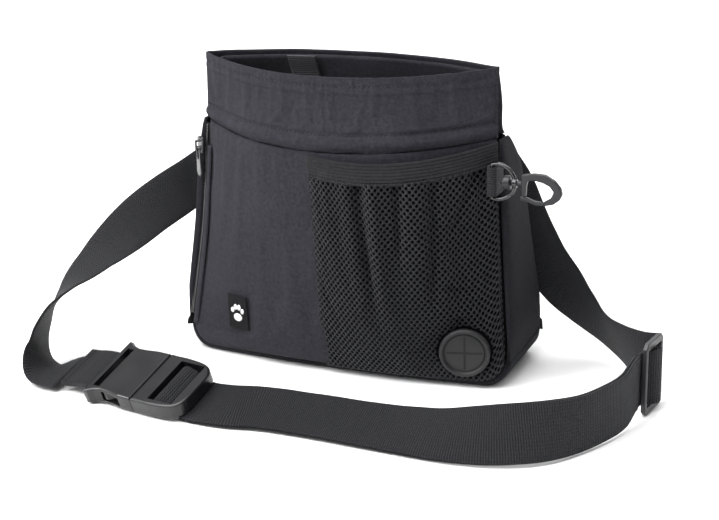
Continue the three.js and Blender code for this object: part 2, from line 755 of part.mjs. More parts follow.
const BELT_RIGHT = [
  [58.6, 23.4, 122.8, 0.34, -0.23, 0.95], [62.4, 24.3, 120.7, 0.43, -0.2, 0.92],
  [66.8, 25.6, 117.2, 0.55, -0.15, 0.85],
  [71.2, 27.5, 112.1, 0.68, -0.1, 0.74], [75.6, 30, 105, 0.8, -0.05, 0.6], [80, 32.6, 95.5, 0.88, 0, 0.45],
  [84.5, 34.8, 83, 0.9, 0, 0.43], [89.5, 36.8, 70.5, 0.88, 0, 0.47],
  [97.5, 38.4, 55.5, 0.82, -0.1, 0.56], [108, 38, 41.5, 0.65, -0.1, 0.7], [121, 35, 30, 0.3, -0.3, 0.8],
  [134, 29.5, 22, 0, -0.4, 0.9], [146, 18, 18.4, -0.2, -0.3, 0.93], [157.5, 4, 18, -0.1, -0.2, 1],
  [168, -7, 19, 0, 0, 1], triglideRoute(20, -2.9), triglideRoute(14, -2.6), triglideRoute(8.6, -2.6),
  triglideRoute(5.8, 0.4), triglideRoute(3.7, 2.9), triglideRoute(0, 4.3), triglideRoute(-3.7, 2.9),
  triglideRoute(-5.8, 0.4), triglideRoute(-8.6, -2.6), triglideRoute(-13.6, -2.7),
];
const BELT_FRONT = [
  triglideRoute(-15.2, -2.9), triglideRoute(-21, -2.5), [171, -65, 17.6, 0, 0, 1],
  [165.5, -81, 16.8, 0, 0, 1], [156.5, -97.5, 16.4, 0, 0.05, 1], [144.5, -110, 16.3, -0.1, 0.2, 0.97],
  [130, -117, 15.4, -0.15, 0.4, 0.9], [112, -119.8, 13, -0.1, 0.65, 0.76], [92, -119.6, 10.3, 0, 0.83, 0.56],
  [70, -117.8, 8.6, 0, 0.9, 0.43], [45, -116.3, 7.9, 0, 0.93, 0.36], [15, -115, 7.7, 0, 0.94, 0.34],
  [-10, -116, 7.8, 0.05, 0.94, 0.34], [-26, -119, 7.6, 0.12, 0.93, 0.34],
  buckleRoute(34, -5.6), buckleRoute(29, -5.4), buckleRoute(24.2, -4.7), buckleRoute(20.6, -2.2),
  buckleRoute(18.7, 1),
];

add('belt_back', ribbon(BELT_BACK, 14, WEBBING), webbingFabric);
add('belt_left', ribbon(BELT_LEFT, 60, WEBBING), webbingFabric);
add('belt_right', ribbon(BELT_RIGHT, 70, WEBBING), webbingFabric);
add('belt_front', ribbon(BELT_FRONT, 70, DOUBLE_WEBBING), webbingFabric);

// Sewn end of the left belt, folded round the strap bar of the socket.
const SEWN_END = [buckleRoute(-56, -2.6), buckleRoute(-50, -2), buckleRoute(-44, -0.7), buckleRoute(-38, 0),
  buckleRoute(-31.9, 0)];
add('belt_sewn_end', ribbon(SEWN_END, 12, DOUBLE_WEBBING), webbingFabric);

// ---------------------------------------------------------------- side release buckle

const BUCKLE = { half: 19.5, thickness: 9.8, cavityHalf: 17, cavity: 6.2 };

// Socket outline, from the split line to the flared strap bar.
const SOCKET = [[-0.2, -19.5], [-9, -19.5], [-17, -18.4], [-22, -18.2], [-26, -19.4], [-29, -21.4],
  [-31.6, -21.6], [-31.6, 21.6], [-29, 21.4], [-26, 19.4], [-22, 18.2], [-17, 18.4], [-9, 19.5],
  [-0.2, 19.5]];

function buckleSocket() {
  const shell = plate(SOCKET, BUCKLE.thickness, 1.2);
  const height = BUCKLE.cavity / 2;
  const inside = block(-22, 5, -BUCKLE.cavityHalf, BUCKLE.cavityHalf, -height, height);
  const windows = block(-22, -9, -25, 25, -height, height);
  const strapSlot = block(-28.4, -24.2, -15.8, 15.8, -10, 10);
  return cut(shell, inside, windows, strapSlot);
}

const PLUG = [[0.2, -19.5], [12, -19.5], [22, -18.6], [28, -16.6], [31.4, -12], [32, 0], [31.4, 12],
  [28, 16.6], [22, 18.6], [12, 19.5], [0.2, 19.5]];

function bucklePlug() {
  const outline = smooth(PLUG.slice(1, -1), 30).concat([[0.2, 19.5], [0.2, -19.5]]);
  const body = plate(outline, BUCKLE.thickness, 1.2);
  const slot = block(10, 26.4, -15.8, 15.8, -10, 10);
  const underEnd = block(25, 40, -15.8, 15.8, -10, -2.9);
  const webBar = new THREE.CylinderGeometry(1.9, 1.9, 33, 12).translate(14.6, 0, 0);
  const rootPockets = [-1, 1].map((side) => block(-1, 4.6, side * 11.5 - 3.4, side * 11.5 + 3.4, -3.4, 3.4));
  const guide = block(-15, 1, -3, 3, -2.2, 2.2);
  return join(cut(body, slot, underEnd, ...rootPockets), webBar, guide);
}

// A sprung arm that turns about its root at x = 2 and latches in the side window.
const PRONG = [[3.8, 9.6], [3.8, 13.4], [-3, 14.4], [-9, 15.4], [-15.5, 16.2], [-17.2, 17], [-18.6, 17.9],
  [-20.6, 17.6], [-21.4, 15.2], [-19.6, 13.6], [-12, 12.4], [-4, 11], [0, 9.8]];

function prong(side) {
  const outline = PRONG.map(([x, y]) => [x, side * y]);
  return plate(side > 0 ? outline.reverse() : outline, 5.4, 0.5);
}

add('buckle_socket', buckleSocket(), bucklePlastic, buckle);
add('buckle_plug', bucklePlug(), bucklePlastic, buckle);
add('buckle_prong_near', prong(-1), bucklePlastic, buckle);
add('buckle_prong_far', prong(1), bucklePlastic, buckle);

// ---------------------------------------------------------------- tri-glide

function triglideFrame() {
  const { bar: edge, spacing, half, thickness } = TRIGLIDE;
  const reach = spacing + edge;
  const round = 2.5;
  const outline = [[-reach, -half + round], [-reach + round, -half], [reach - round, -half],
    [reach, -half + round], [reach, half - round], [reach - round, half], [-reach + round, half],
    [-reach, half - round]];
  const frame = plate(outline, thickness, 0.4);
  const slots = [-1, 1].map((side) => {
    const ends = [side * edge, side * (spacing - edge)].sort((a, b) => a - b);
    return block(ends[0], ends[1], -15.9, 15.9, -5, 5);
  });
  return cut(frame, ...slots);
}

// Sewn end of the inner layer, wrapped round the middle bar.
function endLoop() {
  const inner = TRIGLIDE.bar + GAP;
  const outer = inner + 1.2;
  const steps = 24;
  const ring = (radius) => Array.from({ length: steps }, (_, i) => {
    const angle = (2 * Math.PI * i) / steps;
    return new THREE.Vector2(radius * Math.cos(angle), radius * Math.sin(angle) * 1.02);
  });
  const shape = new THREE.Shape(ring(outer));
  shape.holes.push(new THREE.Path(ring(inner + 0.35)));
  const wrap = new THREE.ExtrudeGeometry(shape, { depth: 29, bevelEnabled: false });
  return wrap.translate(0, 0, -14.5).rotateX(Math.PI / 2);
}

add('triglide', triglideFrame(), bucklePlastic, triglide);
add('belt_end_loop', endLoop(), webbingFabric, triglide);

export default pouch;
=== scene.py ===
"""Looks of the treat pouch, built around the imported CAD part. Lengths inside are in
millimetres, as in the CAD source, and turned into metres where a mesh is made."""

import math

import bpy
import numpy as np
from mathutils import Matrix, Vector, noise


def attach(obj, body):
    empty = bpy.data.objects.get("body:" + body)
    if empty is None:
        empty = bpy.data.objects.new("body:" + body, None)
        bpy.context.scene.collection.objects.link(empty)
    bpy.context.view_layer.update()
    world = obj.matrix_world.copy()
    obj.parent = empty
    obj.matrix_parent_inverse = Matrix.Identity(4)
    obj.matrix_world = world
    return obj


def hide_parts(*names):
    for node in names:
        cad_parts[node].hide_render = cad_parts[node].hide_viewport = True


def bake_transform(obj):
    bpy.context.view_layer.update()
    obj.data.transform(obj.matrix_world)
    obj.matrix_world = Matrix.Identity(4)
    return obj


MM = 0.001
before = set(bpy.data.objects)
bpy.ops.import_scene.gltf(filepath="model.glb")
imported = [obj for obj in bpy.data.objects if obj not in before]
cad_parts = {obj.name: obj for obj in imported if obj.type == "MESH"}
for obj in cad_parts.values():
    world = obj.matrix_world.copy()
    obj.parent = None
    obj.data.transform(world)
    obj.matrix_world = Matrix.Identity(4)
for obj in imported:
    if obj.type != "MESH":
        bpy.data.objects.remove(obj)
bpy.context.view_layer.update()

# ------------------------------------------------------------------ shape of the pouch

CORNER_RADIUS = 15.0
HALF_WIDTH = [(0, 100.5), (26, 97.5), (43, 95.5), (77, 92), (137, 88), (175, 87.4)]
FRONT_EDGE = [(0, -33.8), (26, -30), (43, -27.2), (77, -22), (137, -17), (175, -15.5)]
FRONT_BOW = [(0, 7), (40, 22), (85, 32), (130, 35), (175, 29.5)]
BACK_EDGE = [(0, 33.5), (60, 24), (100, 16), (120, 10), (132, 2), (141, -7), (155, -7), (175, -14)]
BACK_MIDDLE = [(0, 36), (60, 32), (100, 27), (137, 20), (176.5, 3.5)]
BACK_SQUARENESS = [(0, 6), (120, 6), (137, 5), (155, 3), (175, 2.2)]
GUSSET_BULGE = [(0, 0.45), (40, 1), (116, 1), (135, 0.45)]
COLLAR_SEAM = 137.0
COLLAR_DIP = 6.0
HEIGHT = 175.0


def profile(table):
    """Smooth function of height through a short list of (height, value)."""
    heights, values = (np.array(column, float) for column in zip(*table))
    slopes = np.gradient(values, heights)
    for k in range(1, len(values) - 1):
        slopes[k] = (values[k + 1] - values[k - 1]) / (heights[k + 1] - heights[k - 1])

    def at(z):
        z = np.clip(z, heights[0], heights[-1])
        i = np.clip(np.searchsorted(heights, z) - 1, 0, len(heights) - 2)
        span = heights[i + 1] - heights[i]
        t = (z - heights[i]) / span
        rise = t * t * (3 - 2 * t)
        bend = t * (1 - t) ** 2 * slopes[i] - t * t * (1 - t) * slopes[i + 1]
        return values[i] + (values[i + 1] - values[i]) * rise + bend * span

    return at


POCKET_LEFT = profile([(0, -4.5), (70, -5), (96, -5.5), (131, -8)])
POCKET_BOTTOM = 5.0
ELASTIC_HEIGHT = 11.0
PORT = (76.5, 22.0)
half_width = profile(HALF_WIDTH)
front_edge = profile(FRONT_EDGE)
front_bow = profile(FRONT_BOW)
back_edge = profile(BACK_EDGE)
back_middle = profile(BACK_MIDDLE)
back_squareness = profile(BACK_SQUARENESS)
gusset_bulge = profile(GUSSET_BULGE)


def front_y(x, z):
    share = np.minimum(1, np.abs(x) / half_width(z))
    return front_edge(z) - front_bow(z) * (1 - share**2.2)


def back_y(x, z):
    share = np.minimum(1, np.abs(x) / half_width(z))
    edge = back_edge(z)
    return edge + (back_middle(z) - edge) * (1 - share ** back_squareness(z))


def stack(x, y, z):
    return np.stack(np.broadcast_arrays(x, y, z), axis=-1).astype(float)


def front_at(x, z, out=0.0):
    """Point of the front wall, stood off along its normal."""
    step = 0.5
    slope_x = (front_y(x + step, z) - front_y(x - step, z)) / (2 * step)
    slope_z = (front_y(x, z + step) - front_y(x, z - step)) / (2 * step)
    size = np.sqrt(1 + slope_x**2 + slope_z**2)
    return stack(x + out * slope_x / size, front_y(x, z) - out / size, z + out * slope_z / size)


def back_at(x, z, out=0.0):
    step = 0.5
    slope_x = (back_y(x + step, z) - back_y(x - step, z)) / (2 * step)
    return stack(x - out * slope_x, back_y(x, z) + out, z)


def bottom_z(share):
    reach = np.maximum(0, np.abs(share) * HALF_WIDTH[0][1] - (HALF_WIDTH[0][1] - CORNER_RADIUS))
    return CORNER_RADIUS - np.sqrt(np.maximum(0, CORNER_RADIUS**2 - reach**2))


def seam_z(share):
    return COLLAR_SEAM - COLLAR_DIP * (1 - share**2)


def elastic_top(share):
    return seam_z(share) - 1.2 - 3.5 * (1 - (2 * np.abs(share) - 1) ** 2)


def front_rim_z(share):
    return HEIGHT - 4 * (1 - share**2)


def back_rim_z(share):
    return HEIGHT + 1.5 * (1 - share**2)


def mix(a, b, t):
    return a + (b - a) * t


def fade(value, low, high):
    t = np.clip((value - low) / (high - low), 0, 1)
    return t * t * (3 - 2 * t)


def rough_field(points, scale, seed):
    """Smooth noise of the points, in -1 to 1."""
    flat = points.reshape(-1, 3)
    shift = Vector((seed * 17.3, seed * 5.1, seed * 9.7))
    values = [noise.noise(Vector(p) / scale + shift) for p in flat]
    return np.array(values).reshape(points.shape[:-1])


# ------------------------------------------------------------------ materials


def clear_material(name):
    material = bpy.data.materials.new(name)
    material.use_nodes = True
    tree = material.node_tree
    tree.nodes.clear()
    output = tree.nodes.new("ShaderNodeOutputMaterial")
    shader = tree.nodes.new("ShaderNodeBsdfPrincipled")
    tree.links.new(shader.outputs["BSDF"], output.inputs["Surface"])
    return material, tree, shader


class Graph:
    """Short names for the shader nodes that the materials share."""

    def __init__(self, tree):
        self.tree = tree

    def node(self, kind, **settings):
        made = self.tree.nodes.new(kind)
        for key, value in settings.items():
            setattr(made, key, value)
        return made

    def feed(self, socket, value):
        if isinstance(value, bpy.types.NodeSocket):
            self.tree.links.new(value, socket)
        else:
            socket.default_value = value

    def math(self, operation, a, b=None):
        made = self.node("ShaderNodeMath", operation=operation)
        for socket, value in zip(made.inputs, (a, b)):
            if value is not None:
                self.feed(socket, value)
        return made.outputs[0]

    def uv(self):
        split = self.node("ShaderNodeSeparateXYZ")
        self.feed(split.inputs[0], self.node("ShaderNodeUVMap").outputs[0])
        return split.outputs[0], split.outputs[1]

    def noise(self, scale, detail):
        made = self.node("ShaderNodeTexNoise")
        made.inputs["Scale"].default_value = scale
        made.inputs["Detail"].default_value = detail
        self.feed(made.inputs["Vector"], self.node("ShaderNodeTexCoord").outputs["Object"])
        return made.outputs["Fac"]

    def remap(self, value, low, high, out_low, out_high):
        made = self.node("ShaderNodeMapRange")
        for key, number in zip(("From Min", "From Max", "To Min", "To Max"), (low, high, out_low, out_high)):
            made.inputs[key].default_value = number
        self.feed(made.inputs["Value"], value)
        return made.outputs[0]

    def tint(self, colour, factor):
        """Colour multiplied by a factor."""
        made = self.node("ShaderNodeVectorMath", operation="SCALE")
        made.inputs[0].default_value = colour
        self.feed(made.inputs["Scale"], factor)
        return made.outputs[0]

    def bump(self, height, distance):
        made = self.node("ShaderNodeBump")
        made.inputs["Distance"].default_value = distance
        made.inputs["Strength"].default_value = 1.0
        self.feed(made.inputs["Height"], height)
        return made.outputs[0]


def woven(name, colour, pitch=0.00055, depth=0.00012, roughness=0.88, sheen=0.25, mottle=0.12, contrast=0.35):
    """Plain weave in UV metres: threads over and under each other, with uneven yarn."""
    material, tree, shader = clear_material(name)
    g = Graph(tree)
    u, v = g.uv()
    wobble = g.remap(g.noise(350.0, 2.0), 0.3, 0.7, -0.00012, 0.00012)
    along = g.math("MULTIPLY", g.math("ADD", u, wobble), math.pi / pitch)
    across = g.math("MULTIPLY", g.math("ADD", v, wobble), math.pi / pitch)
    warp = g.math("ABSOLUTE", g.math("COSINE", along))
    weft = g.math("ABSOLUTE", g.math("COSINE", across))
    over = g.math("MULTIPLY", g.math("SINE", along), g.math("SINE", across))
    chosen = g.remap(over, -0.4, 0.4, 0.0, 1.0)
    height = g.math("ADD", g.math("MULTIPLY", warp, chosen),
                    g.math("MULTIPLY", weft, g.math("SUBTRACT", 1.0, chosen)))
    shade = g.math("ADD", 1.0 - contrast, g.math("MULTIPLY", height, contrast))
    patches = g.remap(g.noise(28.0, 4.0), 0.25, 0.75, 1.0 - mottle, 1.0 + mottle)
    slub = g.remap(g.noise(520.0, 3.0), 0.3, 0.7, 0.80, 1.22)
    yarn = g.math("MULTIPLY", slub, g.remap(g.noise(1400.0, 1.0), 0.2, 0.8, 0.82, 1.18))
    shade = g.math("MULTIPLY", g.math("MULTIPLY", shade, patches), yarn)
    g.feed(shader.inputs["Base Color"], g.tint(colour, shade))
    shader.inputs["Roughness"].default_value = roughness
    shader.inputs["Specular IOR Level"].default_value = 0.1
    shader.inputs["Sheen Weight"].default_value = sheen
    shader.inputs["Sheen Roughness"].default_value = 0.45
    g.feed(shader.inputs["Normal"], g.bump(height, depth))
    return material


def ribbed(name, colour, rib=0.00125, column=0.0009):
    """Webbing: ribs across the strap, cut into columns by the warp."""
    depth, roughness, contrast = 0.0008, 0.6, 0.85
    material, tree, shader = clear_material(name)
    g = Graph(tree)
    u, v = g.uv()
    wobble = g.remap(g.noise(300.0, 2.0), 0.3, 0.7, -0.0001, 0.0001)
    column_phase = g.math("MULTIPLY", u, math.pi / column)
    zigzag = g.math("MULTIPLY", g.math("PINGPONG", u, column), 0.55)
    rib_phase = g.math("MULTIPLY", g.math("ADD", g.math("ADD", v, zigzag), wobble), math.pi / rib)
    ribs = g.math("ABSOLUTE", g.math("SINE", rib_phase))
    columns = g.math("ABSOLUTE", g.math("SINE", column_phase))
    height = g.math("ADD", g.math("MULTIPLY", ribs, 0.75), g.math("MULTIPLY", columns, 0.25))
    shade = g.math("ADD", 1.0 - contrast, g.math("MULTIPLY", height, contrast))
    yarn = g.remap(g.noise(900.0, 2.0), 0.2, 0.8, 0.8, 1.2)
    g.feed(shader.inputs["Base Color"], g.tint(colour, g.math("MULTIPLY", shade, yarn)))
    shader.inputs["Roughness"].default_value = roughness
    shader.inputs["Specular IOR Level"].default_value = 0.16
    shader.inputs["Sheen Weight"].default_value = 0.02
    g.feed(shader.inputs["Normal"], g.bump(height, depth))
    return material


def moulded(name, colour, roughness, grain=0.00002, wear=0.35, coat=0.0):
    """Moulded or coated hard surface: fine grain, uneven gloss, edges rubbed lighter."""
    material, tree, shader = clear_material(name)
    g = Graph(tree)
    grain_noise = g.noise(900.0, 2.0)
    clouds = g.noise(60.0, 3.0)
    edge = g.remap(g.node("ShaderNodeNewGeometry").outputs["Pointiness"], 0.5, 0.62, 1.0, 1.0 + wear)
    shade = g.math("MULTIPLY", g.remap(clouds, 0.3, 0.7, 0.9, 1.1), edge)
    g.feed(shader.inputs["Base Color"], g.tint(colour, shade))
    g.feed(shader.inputs["Roughness"], g.remap(clouds, 0.3, 0.7, roughness - 0.05, roughness + 0.08))
    shader.inputs["Specular IOR Level"].default_value = 0.42
    shader.inputs["Coat Weight"].default_value = coat
    shader.inputs["Coat Roughness"].default_value = 0.12
    g.feed(shader.inputs["Normal"], g.bump(grain_noise, grain))
    return material


SHELL = woven("shell_fabric", (0.030, 0.029, 0.037), pitch=0.0007, sheen=0.03, contrast=0.6, depth=0.00025)
# Shell weave at about 0.57 of the shell's colour: painted shade, darkening the sides and base where less
# light falls.
SIDE_PAINTED_SHADE = woven("side_fabric_painted_shade", (0.017, 0.0165, 0.021), pitch=0.0007, sheen=0.02, contrast=0.6, depth=0.00025)
LINING = woven("lining_fabric", (0.030, 0.029, 0.036), pitch=0.0004, depth=0.00005, roughness=0.6, sheen=0.05)
# Near-black cloth for the front panel behind the mesh pocket: painted shade, not the panel's own colour.
POCKET_PAINTED_SHADE = woven("painted_shade_behind_pocket", (0.004, 0.004, 0.005), sheen=0.0, contrast=0.5)
MESH = woven("mesh_fabric", (0.023, 0.023, 0.026), pitch=0.0004, depth=0.0001, roughness=0.55, sheen=0.04)
ELASTIC = woven("elastic_fabric", (0.017, 0.017, 0.019), pitch=0.0005, depth=0.00014, roughness=0.6,
                sheen=0.03)
WEBBING = ribbed("webbing", (0.021, 0.021, 0.025))
RIBBON = ribbed("ribbon", (0.085, 0.083, 0.092), rib=0.0014, column=0.0009)
THREAD = woven("thread", (0.018, 0.018, 0.022), pitch=0.0003, depth=0.00005, roughness=0.5, sheen=0.1)
LABEL = woven("label_fabric", (0.004, 0.004, 0.005), pitch=0.00035, depth=0.00006, roughness=0.6, sheen=0.03)
LABEL_WHITE = woven("label_white_thread", (0.85, 0.85, 0.84), pitch=0.00035, depth=0.00008, roughness=0.7)
PLASTIC = moulded("buckle_plastic", (0.004, 0.004, 0.005), roughness=0.32, coat=0.12)
GLIDE_PLASTIC = moulded("glide_plastic", (0.016, 0.016, 0.018), roughness=0.42, grain=0.00003)
HOOK_PLASTIC = moulded("hook_plastic", (0.008, 0.008, 0.010), roughness=0.4, grain=0.00003)
METAL = moulded("black_metal", (0.006, 0.006, 0.007), roughness=0.22, coat=0.5)
RUBBER = moulded("port_rubber", (0.009, 0.009, 0.010), roughness=0.55, grain=0.00004, wear=0.25)
# Near-black strips over the port's cut: painted shade of the slit.
SLIT_PAINTED_SHADE = moulded("port_slit_painted_shade", (0.001, 0.001, 0.001), roughness=0.7, wear=0.1)

# ------------------------------------------------------------------ mesh helpers


def new_object(name, vertices, faces, material, smooth=True, uvs=None):
    """Object from millimetre vertices, with one UV per vertex in metres."""
    mesh = bpy.data.meshes.new(name)
    mesh.from_pydata((np.asarray(vertices, float) * MM).tolist(), [], faces)
    if uvs is not None:
        layer = mesh.uv_layers.new(name="UVMap")
        index = np.zeros(len(mesh.loops), int)
        mesh.loops.foreach_get("vertex_index", index)
        layer.data.foreach_set("uv", (np.asarray(uvs, float)[index] * MM).ravel())
    mesh.materials.append(material)
    mesh.polygons.foreach_set("use_smooth", [smooth] * len(mesh.polygons))
    mesh.update()
    made = bpy.data.objects.new(name, mesh)
    bpy.context.scene.collection.objects.link(made)
    return made


def grid_faces(rows, columns, wrap=False):
    faces = []
    for i in range(rows - 1):
        for j in range(columns if wrap else columns - 1):
            k = (j + 1) % columns
            faces.append((i * columns + j, i * columns + k, (i + 1) * columns + k, (i + 1) * columns + j))
    return faces


def lengths(points, axis):
    """Running length along one axis of a grid, from its middle."""
    step = np.linalg.norm(np.diff(points, axis=axis), axis=-1)
    start = np.zeros_like(np.take(step, [0], axis=axis))
    total = np.concatenate([start, np.cumsum(step, axis=axis)], axis=axis)
    middle = np.take(total, [total.shape[axis] // 2], axis=axis)
    return total - middle


def thicken(made, thickness, offset=0):
    solid = made.modifiers.new("thickness", "SOLIDIFY")
    solid.thickness = thickness * MM
    solid.offset = offset


def patch(name, points, material, thickness, offset=-1.0):
    """Sheet through a grid of points [row up, column along], thickened."""
    rows, columns = points.shape[:2]
    uvs = np.stack([lengths(points, 1), lengths(points, 0)], axis=-1).reshape(-1, 2)
    made = new_object(name, points.reshape(-1, 3), grid_faces(rows, columns), material, uvs=uvs)
    thicken(made, thickness, offset)
    return made


def unit_grid(columns, rows, bunch=0.0):
    """Grid of u and v in 0 to 1, with rows and columns drawn towards the edges."""
    u, v = np.linspace(0, 1, columns), np.linspace(0, 1, rows)
    u = mix(u, 0.5 - 0.5 * np.cos(np.pi * u), bunch)
    v = mix(v, 0.5 - 0.5 * np.cos(np.pi * v), bunch)
    return np.meshgrid(u, v)


def normals_of(points):
    along, up = np.gradient(points, axis=1), np.gradient(points, axis=0)
    normal = np.cross(along, up)
    return normal / np.maximum(np.linalg.norm(normal, axis=-1, keepdims=True), 1e-9)


def lift(points, amount):
    """Moves a grid of points along its own normals."""
    return points + normals_of(points) * amount[..., None]


def edge_distance(points):
    """Rough distance of every grid point to the nearest of its four edges."""
    along, up = lengths(points, 1), lengths(points, 0)
    sides = [along - along[:, :1], along[:, -1:] - along, up - up[:1], up[-1:] - up]
    return np.minimum.reduce(sides)


def soften(points, seed, roll=1.1, reach=3.0, swell=0.5, pucker=0.25, wrinkle=0.45):
    """Cloth look of a sewn panel: edges rolled into the seam, pucker beside it, soft waves."""
    near = edge_distance(points)
    amount = -roll * (1 - fade(near, 0, reach)) + swell * fade(near, 2, 16)
    amount += wrinkle * rough_field(points * (1, 1, 0.6), 26, seed) * fade(near, 2, 20)
    amount += 0.4 * wrinkle * rough_field(points, 9, seed + 3) * fade(near, 1, 8)
    amount += pucker * rough_field(points, 3.4, seed + 7) * np.exp(-near / 6) * fade(near, 0.4, 2)
    return lift(points, amount)


CLOTH_FRAMES = 20


def drape(points, held, loose=-0.02, loose_weight=None, pressure=0.0, cap=3.0, stiffness=8.0):
    """Lets a grid of cloth points settle between its held ones; loose below 0 adds spare cloth."""
    rows, columns = points.shape[:2]
    made = new_object("drape_tmp", points.reshape(-1, 3), grid_faces(rows, columns), FLOOR)
    pins = made.vertex_groups.new(name="held")
    for index in np.flatnonzero(held.ravel()):
        pins.add([int(index)], 1.0, "REPLACE")
    cloth = made.modifiers.new("cloth", "CLOTH")
    settings = cloth.settings
    settings.quality = 6
    settings.mass = 0.15
    settings.tension_stiffness = settings.compression_stiffness = stiffness
    settings.shear_stiffness = stiffness / 2
    settings.bending_stiffness = 0.4
    settings.vertex_group_mass = "held"
    settings.shrink_min = settings.shrink_max = loose
    if loose_weight is not None:
        spare = made.vertex_groups.new(name="spare")
        for index, weight in enumerate(loose_weight.ravel()):
            spare.add([index], float(weight), "REPLACE")
        settings.shrink_min = 0.0
        settings.vertex_group_shrink = "spare"
    if pressure:
        settings.use_pressure = True
        settings.uniform_pressure_force = pressure
    settings.effector_weights.gravity = 0.15
    cloth.collision_settings.use_collision = False
    cloth.point_cache.frame_start, cloth.point_cache.frame_end = 1, CLOTH_FRAMES
    scene = bpy.context.scene
    for number in range(1, CLOTH_FRAMES + 1):
        scene.frame_set(number)
    settled = made.evaluated_get(bpy.context.evaluated_depsgraph_get()).to_mesh()
    flat = np.zeros(rows * columns * 3)
    settled.vertices.foreach_get("co", flat)
    scene.frame_set(1)
    bpy.data.objects.remove(made)
    move = flat.reshape(points.shape) / MM - points
    size = np.linalg.norm(move, axis=-1, keepdims=True)
    return points + move * np.minimum(1, cap / np.maximum(size, 1e-6))


def edge_of(points):
    held = np.zeros(points.shape[:2], bool)
    held[0] = held[-1] = held[:, 0] = held[:, -1] = True
    return held


def finer(points, rows, columns):
    """Smooth resampling of a grid of points."""
    for axis, count in ((0, rows), (1, columns)):
        old = np.arange(points.shape[axis], dtype=float)
        at = np.linspace(0, old[-1], count)
        points = np.apply_along_axis(lambda line: smooth_line(at, old, line), axis, points)
    return points


def smooth_line(at, old, line):
    """Catmull-Rom through evenly spaced values."""
    padded = np.concatenate([[2 * line[0] - line[1]], line, [2 * line[-1] - line[-2]]])
    i = np.minimum(at.astype(int), len(old) - 2)
    t = at - i
    a, b, c, d = (padded[i + k] for k in range(4))
    return b + 0.5 * t * (c - a + t * (2 * a - 5 * b + 4 * c - d + t * (3 * (b - c) + d - a)))


def fit(made, slot, *nodes, body="pouch"):
    """Puts a piece on its body, in place of the CAD nodes that it shows."""
    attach(made, body)
    if nodes:
        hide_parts(*nodes)


def capped(rings, sides, base=0):
    """Faces of a tube of rings of points, closed at both ends."""
    faces = grid_faces(rings, sides, wrap=True)
    faces += [tuple(range(sides))[::-1], tuple((rings - 1) * sides + s for s in range(sides))]
    return [tuple(base + k for k in face) for face in faces]


def stitches(name, path, outward, pitch=2.6, length=1.9, radius=0.33, body="pouch"):
    """Row of thread stitches along a path, each half sunk in the cloth."""
    path, outward = np.asarray(path, float), np.asarray(outward, float)
    run = np.concatenate([[0], np.cumsum(np.linalg.norm(np.diff(path, axis=0), axis=1))])
    sides, rings = 6, 4
    vertices, faces, uvs = [], [], []
    for centre in np.arange(pitch / 2, run[-1], pitch):
        spot = np.array([np.interp(centre, run, path[:, k]) for k in range(3)])
        ahead = np.array([np.interp(centre + 0.2, run, path[:, k]) for k in range(3)])
        normal = np.array([np.interp(centre, run, outward[:, k]) for k in range(3)])
        along = ahead - spot
        along /= max(np.linalg.norm(along), 1e-9)
        across = np.cross(normal, along)
        across /= max(np.linalg.norm(across), 1e-9)
        base = len(vertices)
        for ring in range(rings):
            t = ring / (rings - 1) * 2 - 1
            wide = radius * (0.55 if abs(t) == 1 else 1.0)
            sink = -0.9 * radius if abs(t) == 1 else 0.1 * radius
            for side in range(sides):
                a = 2 * math.pi * side / sides
                p = spot + along * t * length / 2 + across * wide * math.cos(a)
                vertices.append(p + normal * (wide * math.sin(a) + sink))
                uvs.append((side * 0.3, t))
        faces += capped(rings, sides, base)
    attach(new_object(name, vertices, faces, THREAD, uvs=uvs), body)


# ------------------------------------------------------------------ camera, light, floor


CAMERA_TURNS = (23.5, 18.0, -1.4)  # azimuth, elevation and roll, in degrees
CAMERA_TARGET = (0.042, -0.1, 0.09)
CAMERA_DISTANCE = 0.757
LENS = 75.1


def add_camera():
    azimuth, elevation, roll = (math.radians(a) for a in CAMERA_TURNS)
    back = Vector((math.sin(azimuth) * math.cos(elevation), -math.cos(azimuth) * math.cos(elevation),
                   math.sin(elevation)))
    right = (-back).cross(Vector((0, 0, 1))).normalized()
    up = right.cross(-back)
    across = math.cos(roll) * right + math.sin(roll) * up
    above = -math.sin(roll) * right + math.cos(roll) * up
    data = bpy.data.cameras.new("camera")
    data.sensor_width = 36
    data.lens = LENS
    data.clip_start, data.clip_end = 0.05, 20
    camera = bpy.data.objects.new("camera", data)
    place = Matrix.Identity(4)
    for column, axis in enumerate((across, above, back)):
        for row in range(3):
            place[row][column] = axis[row]
    place.translation = Vector(CAMERA_TARGET) + back * CAMERA_DISTANCE
    camera.matrix_world = place
    bpy.context.scene.collection.objects.link(camera)
    bpy.context.scene.camera = camera


def add_light(name, position, target, size, watts, gloss=1.0):
    data = bpy.data.lights.new(name, "AREA")
    data.shape = "RECTANGLE"
    data.size, data.size_y = size
    data.energy = watts
    data.specular_factor = gloss
    lamp = bpy.data.objects.new(name, data)
    lamp.location = position
    lamp.rotation_euler = (Vector(position) - Vector(target)).to_track_quat("Z", "Y").to_euler()
    bpy.context.scene.collection.objects.link(lamp)


